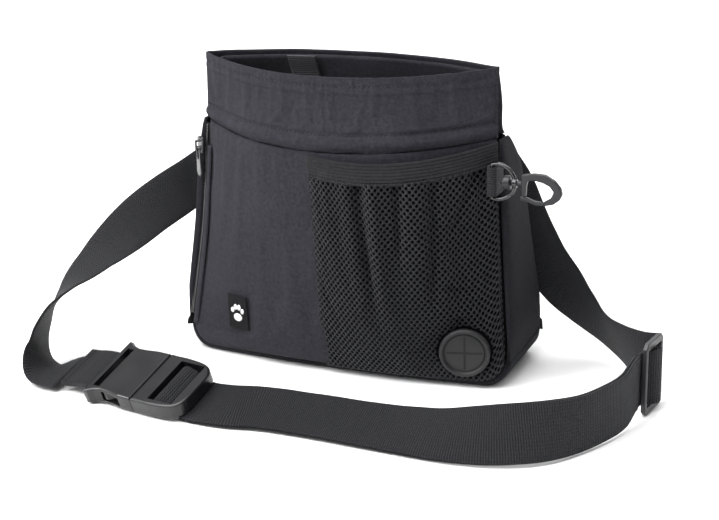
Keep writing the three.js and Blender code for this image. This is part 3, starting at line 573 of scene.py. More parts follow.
def add_studio():
    world = bpy.data.worlds.new("studio")
    bpy.context.scene.world = world
    world.use_nodes = True
    background = world.node_tree.nodes["Background"]
    background.inputs[0].default_value = (1, 1, 1, 1)
    g = Graph(world.node_tree)
    direction = g.node("ShaderNodeSeparateXYZ")
    g.feed(direction.inputs[0], g.node("ShaderNodeTexCoord").outputs["Generated"])
    g.feed(background.inputs[1], g.remap(direction.outputs[2], 0.35, 0.95, 0.1, 1.0))
    add_light("key", (-1.1, -1.0, 1.0), (0, 0, 0.08), (0.8, 0.8), 24)
    add_light("front_fill", (0.2, -1.7, 0.6), (0, 0, 0.08), (1.0, 0.8), 5, gloss=0.5)
    add_light("top", (-0.3, -0.7, 1.6), (0, -0.1, 0.05), (1.6, 1.4), 44, gloss=0.15)
    add_light("rim", (1.3, 0.9, 0.7), (0, 0, 0.08), (0.4, 0.9), 4)
    add_light("far_floor", (0.0, 2.6, 2.2), (0, 2.6, 0), (3.0, 2.0), 110, gloss=0.1)
    floor = new_object("floor", [(-4000, -4000, 0), (4000, -4000, 0), (4000, 4000, 0), (-4000, 4000, 0)],
                       [(0, 1, 2, 3)], FLOOR, smooth=False)
    bpy.context.scene.view_settings.view_transform = "Standard"


FLOOR, _, floor_shader = clear_material("floor_white")
floor_shader.inputs["Base Color"].default_value = (0.9, 0.9, 0.9, 1)
floor_shader.inputs["Roughness"].default_value = 0.9
add_camera()
add_studio()

# ------------------------------------------------------------------ belt

LOOP_Z = 128.0
LOOP_X = 44.0
WIDTH = 30.0
BUCKLE_FRAME = Matrix.Translation((-75.5, -114.5, 12.1)) @ Matrix.Rotation(math.radians(-10), 4, "Z") \
    @ Matrix.Rotation(math.radians(20), 4, "X")
GLIDE_FRAME = Matrix.Translation((178, -32, 20.6)) @ Matrix.Rotation(math.radians(82), 4, "Z") \
    @ Matrix.Rotation(math.radians(90), 4, "X")


def buckle_route(x, z):
    p = BUCKLE_FRAME @ Vector((x, 0, z))
    side = BUCKLE_FRAME @ Vector((x, 1, z)) - p
    return (*p, *side)


def glide_route(x, z):
    return (*(GLIDE_FRAME @ Vector((x, 0, z))), 0, 0, 1)


def back_route(x, drop=0.0, lean=0.0):
    return (x, float(back_y(x, LOOP_Z - drop)) + 1.6, LOOP_Z - drop, lean, -0.23, 1)


# Points are x, y, z and the direction across the webbing.
BELT_LEFT = [
    (-58.2, 23.4, 123.4, -0.25, -0.22, 0.96), (-64.5, 24.2, 121.5, -0.3, -0.2, 0.95),
    (-72, 25.2, 118.8, -0.35, -0.15, 0.95), (-81, 26.4, 114.6, -0.4, -0.08, 1),
    (-92, 27, 107.5, -0.45, -0.1, 1), (-104, 24.5, 98.5, -0.4, -0.1, 1), (-115, 18, 90.5, -0.2, 0.1, 1),
    (-124, 3, 83.5, -0.1, 0.5, 0.9), (-133, -14, 75.5, -0.1, 0.7, 0.75), (-141, -33, 65.5, -0.1, 0.8, 0.6),
    (-149, -52, 54.5, -0.1, 0.87, 0.45), (-156.5, -70, 43, -0.15, 0.92, 0.3),
    (-161.5, -83, 31.5, -0.2, 0.94, 0.1),
    (-163, -91, 20.5, -0.25, 0.94, -0.02), (-160.5, -97, 11.5, -0.27, 0.94, -0.03),
    (-153, -102.5, 5.6, -0.2, 0.97, 0.03), (-142.5, -106.5, 5.6, -0.05, 0.99, 0.14),
    (-133.5, -108, 8, 0.1, 0.96, 0.25),
]
BELT_RIGHT = [
    (58.6, 23.4, 122.8, 0.34, -0.23, 0.95), (62.4, 24.3, 120.7, 0.43, -0.2, 0.92),
    (66.8, 25.6, 117.2, 0.55, -0.15, 0.85), (71.2, 27.5, 112.1, 0.68, -0.1, 0.74),
    (75.6, 30, 105, 0.8, -0.05, 0.6), (80, 32.6, 95.5, 0.88, 0, 0.45),
    (84.5, 34.8, 83, 0.9, 0, 0.43), (89.5, 36.8, 70.5, 0.88, 0, 0.47), (97.5, 38.4, 55.5, 0.82, -0.1, 0.56),
    (108, 38, 41.5, 0.65, -0.1, 0.7), (121, 35, 30, 0.3, -0.3, 0.8), (134, 29.5, 22, 0, -0.4, 0.9),
    (146, 18, 18.4, -0.2, -0.3, 0.93), (157.5, 4, 18, -0.1, -0.2, 1), (168, -7, 19, 0, 0, 1),
    glide_route(20, -2.9), glide_route(14, -2.6), glide_route(8.6, -2.6), glide_route(5.8, 0.4),
    glide_route(3.7, 2.9), glide_route(0, 4.3), glide_route(-3.7, 2.9), glide_route(-5.8, 0.4),
    glide_route(-8.6, -2.6), glide_route(-13.6, -2.7),
]
BELT_FRONT = [
    glide_route(-15.2, -2.9), glide_route(-21, -2.5), (171, -65, 17.6, 0, 0, 1), (165.5, -81, 16.8, 0, 0, 1),
    (156.5, -97.5, 16.4, 0, 0.05, 1), (144.5, -110, 16.3, -0.1, 0.2, 0.97),
    (130, -117, 15.4, -0.15, 0.4, 0.9), (112, -119.8, 13, -0.1, 0.65, 0.76),
    (92, -119.6, 10.3, 0, 0.83, 0.56), (70, -117.8, 8.6, 0, 0.9, 0.43),
    (45, -116.3, 7.9, 0, 0.93, 0.36), (15, -115, 7.7, 0, 0.94, 0.34), (-10, -116, 7.8, 0.05, 0.94, 0.34),
    (-26, -119, 7.6, 0.12, 0.93, 0.34), buckle_route(34, -5.6), buckle_route(29, -5.4),
    buckle_route(24.2, -4.7), buckle_route(20.6, -2.2), buckle_route(18.7, 1),
]
BELT_BACK = [back_route(-53.6, 3.2, -0.24), back_route(-44, 1.4, -0.13), back_route(-32, 0.3, -0.03),
             back_route(-12), back_route(12), back_route(32, 0.3, 0.03), back_route(44, 1.4, 0.13),
             back_route(53.6, 3.2, 0.24)]
SEWN_END = [buckle_route(-56, -2.6), buckle_route(-50, -2), buckle_route(-44, -0.7), buckle_route(-38, 0),
            buckle_route(-31.9, 0)]


def spline(points, steps):
    """Centripetal Catmull-Rom through points of any size, sampled evenly by point number."""
    p = np.asarray(points, float)
    p = np.concatenate([[2 * p[0] - p[1]], p, [2 * p[-1] - p[-2]]])
    gaps = np.maximum(np.linalg.norm(np.diff(p[:, :3], axis=0), axis=1) ** 0.5, 1e-3)
    out = []
    count = len(points) - 1
    for t in np.linspace(0, count, steps + 1):
        i = min(int(t), count - 1)
        s = t - i
        a, b, c, d = p[i : i + 4]
        g0, g1, g2 = gaps[i : i + 3]
        m1 = ((b - a) / g0 - (c - a) / (g0 + g1) + (c - b) / g1) * g1
        m2 = ((c - b) / g1 - (d - b) / (g1 + g2) + (d - c) / g2) * g1
        h = s * s * (3 - 2 * s)
        out.append(b + (c - b) * h + m1 * s * (1 - s) ** 2 - m2 * s * s * (1 - s))
    return np.array(out)


def strap(name, route, seed, thickness=1.5, width=WIDTH, offset=0.0, wave=0.25):
    """Webbing with soft edges along a route; offset moves it along its own face."""
    line = spline(route, 260)
    centre = line[:, :3]
    run = np.concatenate([[0], np.cumsum(np.linalg.norm(np.diff(centre, axis=0), axis=1))])
    even = np.linspace(0, run[-1], max(40, int(run[-1] / 1.8)))
    line = np.stack([np.interp(even, run, line[:, k]) for k in range(6)], axis=1)
    centre, across = line[:, :3], line[:, 3:]
    along = np.gradient(centre, axis=0)
    along /= np.linalg.norm(along, axis=1, keepdims=True)
    across -= along * np.sum(across * along, axis=1, keepdims=True)
    across /= np.linalg.norm(across, axis=1, keepdims=True)
    face = np.cross(along, across)
    half, skin = width / 2, thickness / 2
    lanes = np.linspace(-half + 0.7, half - 0.7, 9)
    section = [(s, skin) for s in lanes] + [(half - 0.15, skin * 0.6), (half, 0), (half - 0.15, -skin * 0.6)]
    section += [(s, -skin) for s in lanes[::-1]]
    section += [(-half + 0.15, -skin * 0.6), (-half, 0), (-half + 0.15, skin * 0.6)]
    section = np.array(section)
    ripple = wave * rough_field(centre, 14, seed)
    points = centre[:, None] + across[:, None] * section[None, :, :1]
    points = points + face[:, None] * (section[None, :, 1:] + offset + ripple[:, None, None])
    rows, columns = points.shape[:2]
    uvs = np.stack(np.broadcast_arrays(section[None, :, 0] + half, even[:, None]), axis=-1)
    made = new_object(name, points.reshape(-1, 3), capped(rows, columns), WEBBING, uvs=uvs.reshape(-1, 2))
    made["length"] = float(even[-1] * MM)
    return made, centre, across, face


# The straps that bend between two bodies are baked in place and ride on no body; the others ride on one.
left, left_line, _, _ = strap("strap_left", BELT_LEFT, seed=2)
right, right_line, _, _ = strap("strap_right", BELT_RIGHT, seed=3)
front, front_line, _, _ = strap("strap_front", BELT_FRONT, seed=4, offset=-0.85, wave=0.2)
inner, _, _, _ = strap("strap_front_inner", BELT_FRONT, seed=4, offset=0.85, wave=0.2)
behind, _, _, _ = strap("strap_behind", BELT_BACK, seed=5, wave=0)
sewn, sewn_line, sewn_across, sewn_face = strap("strap_sewn_end", SEWN_END, thickness=3.2, seed=6, wave=0.1)
for piece, node in ((left, "belt_left"), (right, "belt_right"), (front, "belt_front")):
    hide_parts(node)
TURN = [buckle_route(25.6, -3.2), buckle_route(23.2, -1.4), buckle_route(20.4, 0.6), buckle_route(17.6, 2.3),
        buckle_route(14.8, 2.9), buckle_route(12.3, 2.0), buckle_route(11.2, -0.4), buckle_route(11.2, -2.4)]
turn, _, _, _ = strap("strap_over_bar", TURN, thickness=1.3, width=29.6, seed=7, wave=0)
fit(behind, "webbing", "belt_back")
fit(turn, "webbing")
fit(sewn, "webbing", "belt_sewn_end", body="socket")

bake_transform(left)
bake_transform(right)
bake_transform(front)
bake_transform(inner)


for place in (2, 5, -5, -2):
    centre, side, up = sewn_line[place], sewn_across[place], sewn_face[place]
    row = [centre + side * step + up * 1.7 for step in np.linspace(-13.5, 13.5, 20)]
    stitches(f"sewn_end_stitch_{place % 9}", row, np.tile(up, (20, 1)), pitch=1.8, length=1.3, radius=0.3,
             body="socket")

# ------------------------------------------------------------------ hard parts from the CAD


CAST = ("hook_body", "hook_gate", "swivel_eye", "zip_puller", "zip_slider")


def dress(node, material, bevel):
    """CAD node with its own mesh, edges rounded by modifiers."""
    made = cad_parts[node]
    made.data.materials.clear()
    made.data.materials.append(material)
    weld = made.modifiers.new("weld", "WELD")
    weld.merge_threshold = 0.00002
    if node in CAST:
        cast = made.modifiers.new("cast", "REMESH")
        cast.mode = "VOXEL"
        cast.voxel_size = 0.00028
        cast.use_smooth_shade = True
        melt = made.modifiers.new("melt", "SMOOTH")
        melt.factor = 0.5
        melt.iterations = 9
    elif bevel:
        round_edges = made.modifiers.new("round", "BEVEL")
        round_edges.width = bevel * MM
        round_edges.segments = 3
        round_edges.limit_method = "ANGLE"
        round_edges.angle_limit = math.radians(35)


for node, material, bevel in (
    ("buckle_socket", PLASTIC, 0.35), ("buckle_plug", PLASTIC, 0.35), ("buckle_prong_near", PLASTIC, 0.3),
    ("buckle_prong_far", PLASTIC, 0.3), ("triglide", GLIDE_PLASTIC, 0.3), ("hook_body", HOOK_PLASTIC, 0.25),
    ("hook_gate", HOOK_PLASTIC, 0.2), ("swivel_eye", METAL, 0.0), ("zip_slider", METAL, 0.15),
    ("zip_puller", METAL, 0.15), ("belt_end_loop", WEBBING, 0.2),
):
    dress(node, material, bevel)

# ------------------------------------------------------------------ outer shell


def front_panel():
    u, v = unit_grid(76, 56)
    share = 2 * u - 1
    z = mix(bottom_z(share) + 4.4, seam_z(share) - 0.2, v)
    half = half_width(z)
    x = mix(-half + 2.8, half - 0.2, u)
    points = front_at(x, z)
    points = points + rough_field(points, 24, 61)[..., None] * (0, 0.4, 0)
    points = drape(points, edge_of(points), loose=-0.003, pressure=0.25, cap=1.2)
    points = soften(finer(points, 110, 150), seed=1, wrinkle=0.25)
    under = fade(points[..., 0], POCKET_LEFT(points[..., 2]) + 1, POCKET_LEFT(points[..., 2]) + 8)
    flat = front_y(points[..., 0], points[..., 2]) + 0.7
    points[..., 1] = np.where(points[..., 1] < flat, mix(points[..., 1], flat, under), points[..., 1])
    return points


def back_panel():
    u, v = unit_grid(110, 90, 0.35)
    share = 1 - 2 * u
    z = mix(bottom_z(share) + 4.2, COLLAR_SEAM - 0.2, v)
    return soften(back_at(share * (half_width(z) - 0.2), z), seed=2, wrinkle=0.6)


def gusset(side):
    bulge = 4.5 if side > 0 else 6.5
    u, v = unit_grid(50, 100, 0.2)
    if side < 0:
        u = 1 - u
    z = mix(CORNER_RADIUS - 1.0, 136.5, v)
    front, back = front_edge(z) + 0.2, back_edge(z) - 0.2
    depth = (back - front) / 2
    turn = (u - 0.5) * np.pi
    reach = bulge * gusset_bulge(z) * mix(0.12, 1, fade(z, 8, 40))
    x = half_width(z) + 0.3 + reach * np.maximum(np.cos(turn), 0) ** 0.5
    y = front + depth + depth * np.sign(np.sin(turn)) * np.abs(np.sin(turn)) ** 0.5
    return soften(stack(side * x, y, z), seed=4 + side, roll=0.5, swell=0.0)


def base_panel():
    u, v = unit_grid(140, 40, 0.0)
    from_middle = np.abs(2 * u - 1)
    side = np.sign(2 * u - 1)
    corner = 0.2
    turn = np.pi / 2 * np.maximum(0, (from_middle - (1 - corner)) / corner)
    flat = np.minimum(1, from_middle / (1 - corner))
    centre = half_width(CORNER_RADIUS) + 0.9 - CORNER_RADIUS
    x = side * (flat * centre + CORNER_RADIUS * np.sin(turn))
    z = CORNER_RADIUS * (1 - np.cos(turn))
    lip = 3.6
    fold = np.clip((np.abs(v - 0.5) - 0.42) / 0.08, 0, 1)
    inward = fold**2 * 2.0
    low = back_y(x, z) - inward
    high = front_y(x, z) + inward
    y = mix(low, high, v)
    rise = lip * fold**1.5
    nx, nz = -side * np.sin(turn), np.cos(turn)
    return stack(x + nx * rise, y, z + nz * rise + 0.3)


def collar_front():
    u, v = unit_grid(110, 26)
    share = 2 * u - 1
    z = mix(seam_z(share) + 0.2, front_rim_z(share), v)
    points = front_at(share * (half_width(z) - 0.2), z)
    points = points + rough_field(points * (1, 1, 0.4), 22, 22)[..., None] * (0, 0.7, 0)
    held = edge_of(points)
    held[6] = True
    points = finer(drape(points, held, loose=-0.005, pressure=0.5, cap=2.0), 78, 220)
    rise = np.linspace(0, 1, 78)[:, None] * np.ones((1, 220))
    height = rise * 39.0
    share = np.abs(np.linspace(-1, 1, 220))[None, :]
    rolled = -1.5 * np.exp(-((height / 2.0) ** 2)) - 0.9 * fade(share, 0.98, 1.0)
    band = 1.1 * np.exp(-(((height - 4.6) / 2.8) ** 2))
    groove = -1.0 * np.exp(-(((height - 9.3) / 1.5) ** 2))
    hem = 0.5 * fade(height, 29.6, 30.6) - 0.3 * np.exp(-(((height - 34.2) / 1.0) ** 2))
    pucker = 0.3 * rough_field(points * (1, 1, 0.5), 4.5, 23)
    pucker = pucker * (np.exp(-np.abs(height - 9.3) / 4) + 0.5 * np.exp(-np.abs(height - 34) / 3))
    return lift(points, rolled + band + groove + hem + pucker)


def collar_back():
    bend = 0.86
    u, v = unit_grid(190, 46, 0.0)
    spread = np.abs(1 - 2 * u)
    side = np.sign(1 - 2 * u)
    share = side * np.minimum(1, spread / bend)
    z = mix(COLLAR_SEAM + 0.2, back_rim_z(share), v)
    half = half_width(z) - 0.2
    seam = front_edge(z) + 1.0
    wall = stack(share * half, np.maximum(back_y(share * half, z), seam + 2.0), z)
    t = np.clip((spread - bend) / (1 - bend), 0, 1)
    corner = np.maximum(back_edge(z), seam + 2.0)
    pleat = 4.2 * np.sin(np.pi * t) * np.minimum(1, (corner - seam) / 8)
    flank = stack(side * (half - pleat), mix(corner, seam, t), z)
    points = np.where((spread <= bend)[..., None], wall, flank)
    waves = 0.8 * rough_field(points * (1, 1, 0.5), 28, 31) * fade(v, 0, 0.3)
    pucker = 0.25 * rough_field(points, 3.2, 32) * np.exp(-np.abs(v - 0.9) / 0.08)
    return lift(points, waves * fade(bend - spread, 0, 0.1) + pucker)


def shell_piece(name, points, material, node, thickness=1.4):
    made = patch(name, points, material, thickness)
    fit(made, "shell", node)
    return made


front_points = front_panel()
collar_points = collar_front()
collar_back_points = collar_back()
front_shell = shell_piece("shell_front", front_points, SHELL, "front_panel")
# Faces behind the mesh pocket take the near-black material: painted shade behind the pocket.
front_shell.data.materials.append(POCKET_PAINTED_SHADE)
for face in front_shell.data.polygons:
    middle = face.center / MM
    if middle.x > POCKET_LEFT(middle.z) + 2.5 and middle.z < elastic_top(0.5) - 2:
        face.material_index = 1
shell_piece("shell_back", back_panel(), SHELL, "back_panel")
# The sides and base take the darker side fabric, which paints their shade.
shell_piece("shell_side_right", gusset(1), SIDE_PAINTED_SHADE, "right_gusset")
shell_piece("shell_side_left", gusset(-1), SIDE_PAINTED_SHADE, "left_gusset")
shell_piece("shell_base", base_panel(), SIDE_PAINTED_SHADE, "base_panel")
shell_piece("shell_collar_front", collar_points, SHELL, "collar_front")
shell_piece("shell_collar_back", collar_back_points, SHELL, "collar_back", thickness=1.2)


def grid_line(points, share_v):
    """Row of a grid of points at a share of its height, with its normals."""
    row = share_v * (points.shape[0] - 1)
    i = min(int(row), points.shape[0] - 2)
    line = mix(points[i], points[i + 1], row - i)
    return line, normals_of(points)[i]


for name, grid, share in (
    ("collar_rim_stitch", collar_points, 0.88), ("collar_seam_stitch", collar_points, 0.24),
    ("collar_back_stitch", collar_back_points, 0.93),
):
    line, outward = grid_line(grid, share)
    stitches(name, line[2:-2], outward[2:-2])

# ------------------------------------------------------------------ lining and mouth


def lining():
    columns, rows = 120, 70
    angle = np.linspace(0, 2 * np.pi, columns, endpoint=False)
    share = -np.cos(angle)
    front = angle < np.pi
    points = np.zeros((rows, columns, 3))
    for i, level in enumerate(np.linspace(1, 0, rows)):
        rim = np.where(front, front_rim_z(share), back_rim_z(share)) - 3.0
        z = mix(6.0, rim, level)
        side = np.interp(z, [0, 110, 140, 168], [4, 4, 6, 9])
        corner = CORNER_RADIUS * (1 - np.sqrt(np.clip(1 - (1 - np.minimum(1, z / 20)) ** 2, 0, 1)))
        x = share * (half_width(z) - side - corner)
        gap_front = np.interp(z, [0, 120, 150, 175], [6, 6, 2.4, 1.9])
        gap_back = np.interp(z, [0, 150, 175], [2.6, 2.4, 1.6])
        y = np.where(front, front_y(x, z) + gap_front, back_y(x, z) - gap_back)
        points[i] = stack(x, y, z)
    waves = rough_field(points, 22, 41) * 0.8 + rough_field(points, 8, 42) * 0.3
    inward = np.where(front, 1.0, -1.0)[None, :] * np.clip(waves, -0.2, 2)
    points[..., 1] += inward
    floor = points[-1].mean(axis=0)
    faces = grid_faces(rows, columns, wrap=True)
    vertices = list(points.reshape(-1, 3)) + [floor]
    last = (rows - 1) * columns
    for j in range(columns):
        faces.append((last + j, last + (j + 1) % columns, len(vertices) - 1))
    u = np.broadcast_to(np.linspace(0, 460, columns), (rows, columns))
    uvs = np.stack([u, points[..., 2]], axis=-1).reshape(-1, 2).tolist() + [[0, 0]]
    made = new_object("lining_cup", vertices, faces, LINING, uvs=uvs)
    thicken(made, 0.6)
    return made


fit(lining(), "lining", "lining", "zip_pocket_back")


def ribbon_tab():
    u, v = unit_grid(24, 30)
    x = mix(-42.0, -25.5, u)
    z = mix(154.0, 173.0, v)
    curl = 0.4 * np.sin(u * np.pi) + 0.2 * np.sin(v * 9)
    points = stack(x, back_y(x, z) - 3.3 - curl, z)
    return patch("ribbon_tab", points[:, ::-1], RIBBON, 0.9)


fit(ribbon_tab(), "webbing", "inner_ribbon_tab")

# ------------------------------------------------------------------ zip


def zip_band(name, across, out, low, high, material, thickness=0.6, swell=0.0):
    """Strip beside the pouch's left edge, between two distances across and two heights."""
    u, v = unit_grid(12, 110)
    z = mix(low, high, v)
    x = -half_width(z) + mix(across[0], across[1], u)
    return patch(name, front_at(x, z, out + swell * np.sin(np.pi * u)), material, thickness)


def zip_teeth():
    """Spiral coil as a row of small bars across the tape."""
    count, sides = 98, 6
    vertices, faces, uvs = [], [], []
    for i in range(count):
        z = mix(22.0, 133.0, i / (count - 1))
        half = float(half_width(z))
        ends = [front_at(-half + a, z + b, 0.15) for a, b in ((0.3, 0.2), (2.5, -0.2))]
        along = ends[1] - ends[0]
        along /= np.linalg.norm(along)
        up = np.array([0, 0, 1.0])
        out = np.cross(along, up)
        base = len(vertices)
        for e in ends:
            for s in range(sides):
                a = 2 * math.pi * s / sides
                vertices.append(e + up * 0.42 * math.cos(a) + out * 0.5 * math.sin(a))
                uvs.append((s * 0.3, 0 if e is ends[0] else 2))
        faces += [face[::-1] for face in capped(2, sides, base)]
    return new_object("zip_coil_teeth", vertices, faces, METAL, uvs=uvs)


fit(zip_band("zip_tape_band", (-0.9, 7.5), -1.0, 21, 134, WEBBING), "webbing", "zip_tape")
fit(zip_teeth(), "metal", "zip_coil")
flap = zip_band("zip_flap_band", (3.0, 7.0), 0.35, 16, 122, SHELL, thickness=0.8, swell=0.5)
fit(flap, "shell", "zip_flap")
heights = np.linspace(18, 120, 90)
edge_x = -half_width(heights) + 6.6
stitches("zip_flap_stitch", front_at(edge_x, heights, 0.75), np.tile((-0.5, -0.86, 0.0), (90, 1)), pitch=2.2,
         length=1.5, radius=0.2)

# ------------------------------------------------------------------ label


def label():
    u, v = unit_grid(16, 22)
    x, z = mix(-67.2, -52.9, u), mix(19.4, 40.2, v)
    points = front_at(x, z, 1.15)
    return patch("label_patch", points, LABEL, 0.5)


def paw_print():
    """Plain paw print sewn on the label: a pad and four toes."""
    centre, sides = (-60.0, 29.0), 24
    spots = [(0, -2.2, 2.9, 2.4), (-3.5, 1.9, 1.15, 1.6), (-1.25, 3.9, 1.2, 1.75), (1.25, 3.9, 1.2, 1.75),
             (3.5, 1.9, 1.15, 1.6)]
    vertices, faces, uvs = [], [], []
    for dx, dz, rx, rz in spots:
        base = len(vertices)
        rings = ((1.0, 1.15), (0.93, 1.5), (0.5, 1.62))
        for share, out in rings:
            for s in range(sides):
                a = 2 * math.pi * s / sides
                x = centre[0] + dx + rx * share * math.cos(a)
                z = centre[1] + dz + rz * share * math.sin(a)
                vertices.append(front_at(x, z, out))
                uvs.append((x, z))
        closed = capped(len(rings), sides, base)
        faces += closed[:-2] + closed[-1:]
    return new_object("label_emblem", vertices, faces, LABEL_WHITE, uvs=uvs)


fit(label(), "label", "woven_label")
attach(paw_print(), "pouch")

# ------------------------------------------------------------------ mesh pocket


# Each fold's x and z at its top and at its foot, its width, and its share of FOLD_DEPTH outwards.
FOLD_DEPTH = 1.5
FOLDS = [
    (21, 128, 31, 34, 3.2, -3.4), (29, 128, 37, 40, 4.5, 1.8), (41, 128, 44, 66, 2.6, -2.4),
    (50, 128, 52, 38, 5.0, 1.6), (58, 122, 60, 40, 3.0, -3.0), (80, 126, 62, 78, 2.6, -1.8),
    (8, 124, 14, 70, 4.0, -1.0), (70, 62, 74, 30, 6.0, -1.6),
]


def pocket_folds(x, z):
    """Gathers under the elastic and the long folds that run down from them."""
    out = 0.0
    for x_top, z_top, x_low, z_low, width, depth in FOLDS:
        t = np.clip((z_top - z) / (z_top - z_low), 0, 1)
        line = mix(x_top, x_low, t)
        strength = fade(t, 0, 0.12) * (1 - fade(t, 0.6, 1.0))
        out = out + FOLD_DEPTH * depth * strength * np.exp(-(((x - line) / width) ** 2))
    return out


def pocket_at(u, z):
    left = POCKET_LEFT(z)
    x = mix(left, half_width(z) - 1.0, u)
    rise = np.clip((z - POCKET_BOTTOM) / 60, 0, 1)
    belly = np.sin(np.pi * np.clip(u, 0, 1)) ** 0.8 * np.sin(rise * np.pi / 2) ** 0.7
    near_port = np.exp(-(((x - PORT[0]) ** 2 + (z - PORT[1]) ** 2) / 19.0**2) ** 2)
    stand = 0.9 + 7.6 * belly * (1 - near_port)
    edge = fade(u, 0, 0.08) * fade(1 - u, 0, 0.05)
    stand = stand + pocket_folds(x, z) * edge
    return front_at(x, z, np.maximum(stand, 0.7))


def pocket_sheet():
    """Cloth of the pocket before it is cut into a net, gathered at the elastic."""
    rows, columns = 70, 76
    u, v = unit_grid(columns, rows)
    low, high = bottom_z(u) + POCKET_BOTTOM, elastic_top(u) - ELASTIC_HEIGHT + 1.0
    z = mix(low, high, v)
    points = pocket_at(u, z)
    x = points[..., 0]
    held = edge_of(points)
    held |= (x - PORT[0]) ** 2 + (z - PORT[1]) ** 2 < 17.0**2
    spare = 0.25 + 0.75 * fade(v, 0.2, 0.9)
    points = drape(points, held, loose=-0.08, loose_weight=spare, pressure=0.4, cap=2.6, stiffness=6.0)
    wall = front_y(points[..., 0], points[..., 2])
    points[..., 1] = np.minimum(points[..., 1], wall - 0.9)
    return points


def sample(grid, u, v):
    """Bilinear value of a grid of points at shares u along and v up."""
    rows, columns = grid.shape[:2]
    a, b = np.clip(u, 0, 1) * (columns - 1), np.clip(v, 0, 1) * (rows - 1)
    j, i = np.minimum(a.astype(int), columns - 2), np.minimum(b.astype(int), rows - 2)
    s, t = (a - j)[:, None], (b - i)[:, None]
    return mix(mix(grid[i, j], grid[i, j + 1], s), mix(grid[i + 1, j], grid[i + 1, j + 1], s), t)


def pocket_net():
    """Knitted net: a staggered lattice of cells, each with an oval hole."""
    wide, tall, span = 2.9, 2.0, 96.2
    low, high = POCKET_BOTTOM, 124.0
    rows = int((high - low) / tall)
    columns = int(span / wide)
    vertices, faces = [], []
    shared = {}

    def vertex(s, z):
        key = (round(s, 4), round(z, 3))
        if key not in shared:
            shared[key] = len(vertices)
            vertices.append((s, z))
        return shared[key]

    for i in range(rows + 1):
        for j in range(-1, columns + 1):
            cx = (j + 0.5 + (0.5 if i % 2 else 0)) * wide
            cz = low + i * tall
            if not (-0.4 * wide < cx < span):
                continue
            corners = []
            for dx, dz in ((-0.5, -0.33), (0, -0.67), (0.5, -0.33), (0.5, 0.33), (0, 0.67), (-0.5, 0.33)):
                corners.append((cx + dx * wide, cz + dz * tall))
            outline = []
            for k, corner in enumerate(corners):
                after = corners[(k + 1) % 6]
                outline.append(vertex(*corner))
                outline.append(vertex((corner[0] + after[0]) / 2, (corner[1] + after[1]) / 2))
            hole = []
            for s in range(12):
                a = 2 * math.pi * s / 12 + math.atan2(-0.33 * tall, -0.5 * wide)
                hole.append(len(vertices))
                vertices.append((cx + 0.29 * wide * math.cos(a), cz + 0.56 * tall * math.sin(a)))
            for s in range(12):
                k = (s + 1) % 12
                faces.append((outline[s], outline[k], hole[k], hole[s]))
    flat = np.array(vertices)
    z = flat[:, 1]
    share = np.clip(flat[:, 0] / span, 0, 1)
    points = sample(pocket_sheet(), share, (z - low) / (high - low))
    kept = []
    x, z = points[:, 0], points[:, 2]
    outside = (x - PORT[0]) ** 2 + (z - PORT[1]) ** 2 > 14.4**2
    for face in faces:
        if all(outside[k] for k in face):
            kept.append(face)
    uvs = np.stack([x, z], axis=-1)
    made = new_object("pocket_net", points, kept, MESH, uvs=uvs)
    thicken(made, 0.55)
    return made


def pocket_band():
    """Ribbed elastic along the pocket's edge."""
    u, v = unit_grid(150, 100)
    top = elastic_top(u)
    z = mix(top - ELASTIC_HEIGHT - 0.6, top, v)
    ribs = 0.42 * np.abs(np.sin(v * np.pi * 7)) ** 0.7
    ribs = ribs + 0.35 * rough_field(stack(u * 90, v * 4, 0 * v), 5, 51)
    edge = -0.5 * np.maximum(0, np.abs(v - 0.5) - 0.47) / 0.03
    left = POCKET_LEFT(z)
    x = mix(left, half_width(z) - 0.6, u)
    belly = np.sin(np.pi * u) ** 0.8
    return front_at(x, z, 1.2 + 7.0 * belly * (0.55 + 0.45 * (1 - v)) + ribs + edge)


fit(pocket_net(), "mesh", "mesh_pocket")
band_points = pocket_band()
fit(patch("pocket_band", band_points, ELASTIC, 1.3), "elastic", "pocket_elastic")
for name, share in (("band_stitch_low", 0.08), ("band_stitch_high", 0.2)):
    line, outward = grid_line(band_points, share)
    stitches(name, line[1:-1], outward[1:-1], pitch=2.0, length=1.4, radius=0.24)

# ------------------------------------------------------------------ rubber port

PORT_FRAME = Matrix.Translation((PORT[0], float(front_y(*PORT)) - 1, PORT[1])) \
    @ Matrix.Rotation(math.radians(14.5), 4, "Z") @ Matrix.Rotation(math.radians(94), 4, "X")


def turned(name, section, material, sides=96):
    """Turned part about the axis of the port from (radius, height) pairs."""
    vertices, uvs = [], []
    for radius, height in section:
        for k in range(sides):
            a = 2 * math.pi * k / sides
            p = Vector((radius * math.cos(a), radius * math.sin(a), height))
            vertices.append(PORT_FRAME @ p)
            uvs.append((p.x, p.y + height))
    return new_object(name, vertices, capped(len(section), sides), material, uvs=uvs)


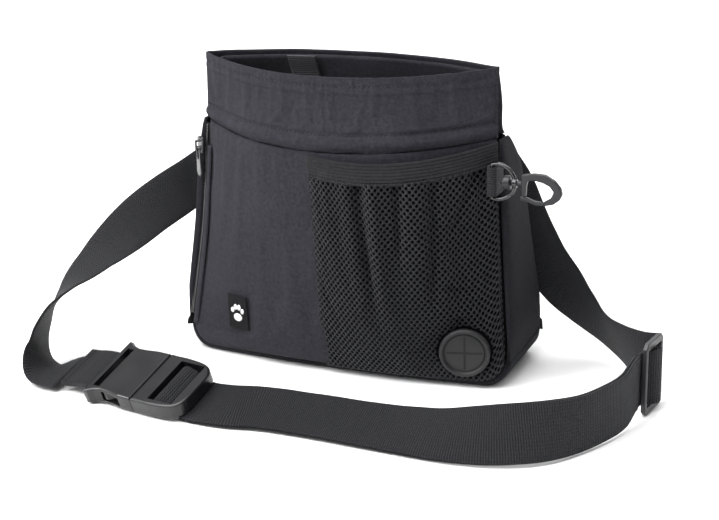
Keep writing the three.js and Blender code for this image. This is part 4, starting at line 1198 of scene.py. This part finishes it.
def cross_slit():
    """Cross slit of the port as two near-black strips with rounded ends, painted shade of the cut."""
    vertices, faces, uvs = [], [], []
    for turn_by in (0.0, math.pi / 2):
        base = len(vertices)
        outline = []
        for end in (1, -1):
            for k in range(9):
                a = math.pi * (k / 8 - 0.5)
                outline.append((end * (9.4 + 0.55 * math.cos(a)), end * 0.62 * math.sin(a)))
        for height in (2.0, 2.27):
            for x, y in outline:
                px = x * math.cos(turn_by) - y * math.sin(turn_by)
                py = x * math.sin(turn_by) + y * math.cos(turn_by)
                vertices.append(PORT_FRAME @ Vector((px, py, height + 0.02 * turn_by)))
                uvs.append((px, py))
        faces += capped(2, len(outline), base)
    return new_object("port_slits", vertices, faces, SLIT_PAINTED_SHADE, smooth=False, uvs=uvs)


RING = [(11.0, 0.5), (14.0, 0.5), (14.1, 2.2), (13.9, 2.9), (13.5, 3.25), (12.9, 3.35), (12.3, 3.2),
        (11.9, 2.8), (11.7, 2.0), (11.3, 1.7), (10.95, 1.8), (10.8, 2.15), (10.5, 2.25), (5.0, 2.2),
        (0.4, 2.2)]
fit(turned("port_disc", RING, RUBBER), "port", "bag_port")
fit(cross_slit(), "port")

# ------------------------------------------------------------------ fabric tab of the eye

EYE = (89.5, -31.5, 117.5)


def eye_tab():
    """Strap folded round the straight side of the eye, its ends sewn into the side seam."""
    inner, turn = 2.2, 12
    path = [(-inner, -20.5), (-inner, -26.0), (-inner, EYE[1])]
    for i in range(1, turn):
        angle = math.pi * (1 + i / turn)
        path.append((inner * math.cos(angle), EYE[1] + inner * math.sin(angle)))
    path += [(inner, EYE[1]), (inner, -26.0), (inner, -20.5)]
    path = np.array(path)
    v = np.linspace(0, 1, 16)
    points = np.zeros((16, len(path), 3))
    for i, share in enumerate(v):
        z = EYE[2] + mix(-8, 8, share)
        points[i] = stack(EYE[0] + path[:, 0], path[:, 1], np.full(len(path), z))
    made = patch("eye_tab_strap", points, WEBBING, 1.2, offset=0)
    rounding = made.modifiers.new("round", "BEVEL")
    rounding.width = 0.25 * MM
    rounding.segments = 2
    return made


fit(eye_tab(), "shell", "eye_tab")

# ------------------------------------------------------------------ belt loops


def belt_loop(side):
    low, high, half = 100.0, 151.0, 11.0
    u, v = unit_grid(20, 70)
    x = side * LOOP_X + mix(half, -half, u)
    z = mix(low, high, v)
    from_end = np.minimum(z - low, high - z)
    stand = 0.6 + 5.2 * fade(from_end, 0.5, 7.5)
    points = back_at(x, z, stand)
    node = f"belt_loop_{'right' if side > 0 else 'left'}"
    fit(patch(f"{node}_strap", points, WEBBING, 1.2, offset=1), "webbing", node)


belt_loop(-1)
belt_loop(1)
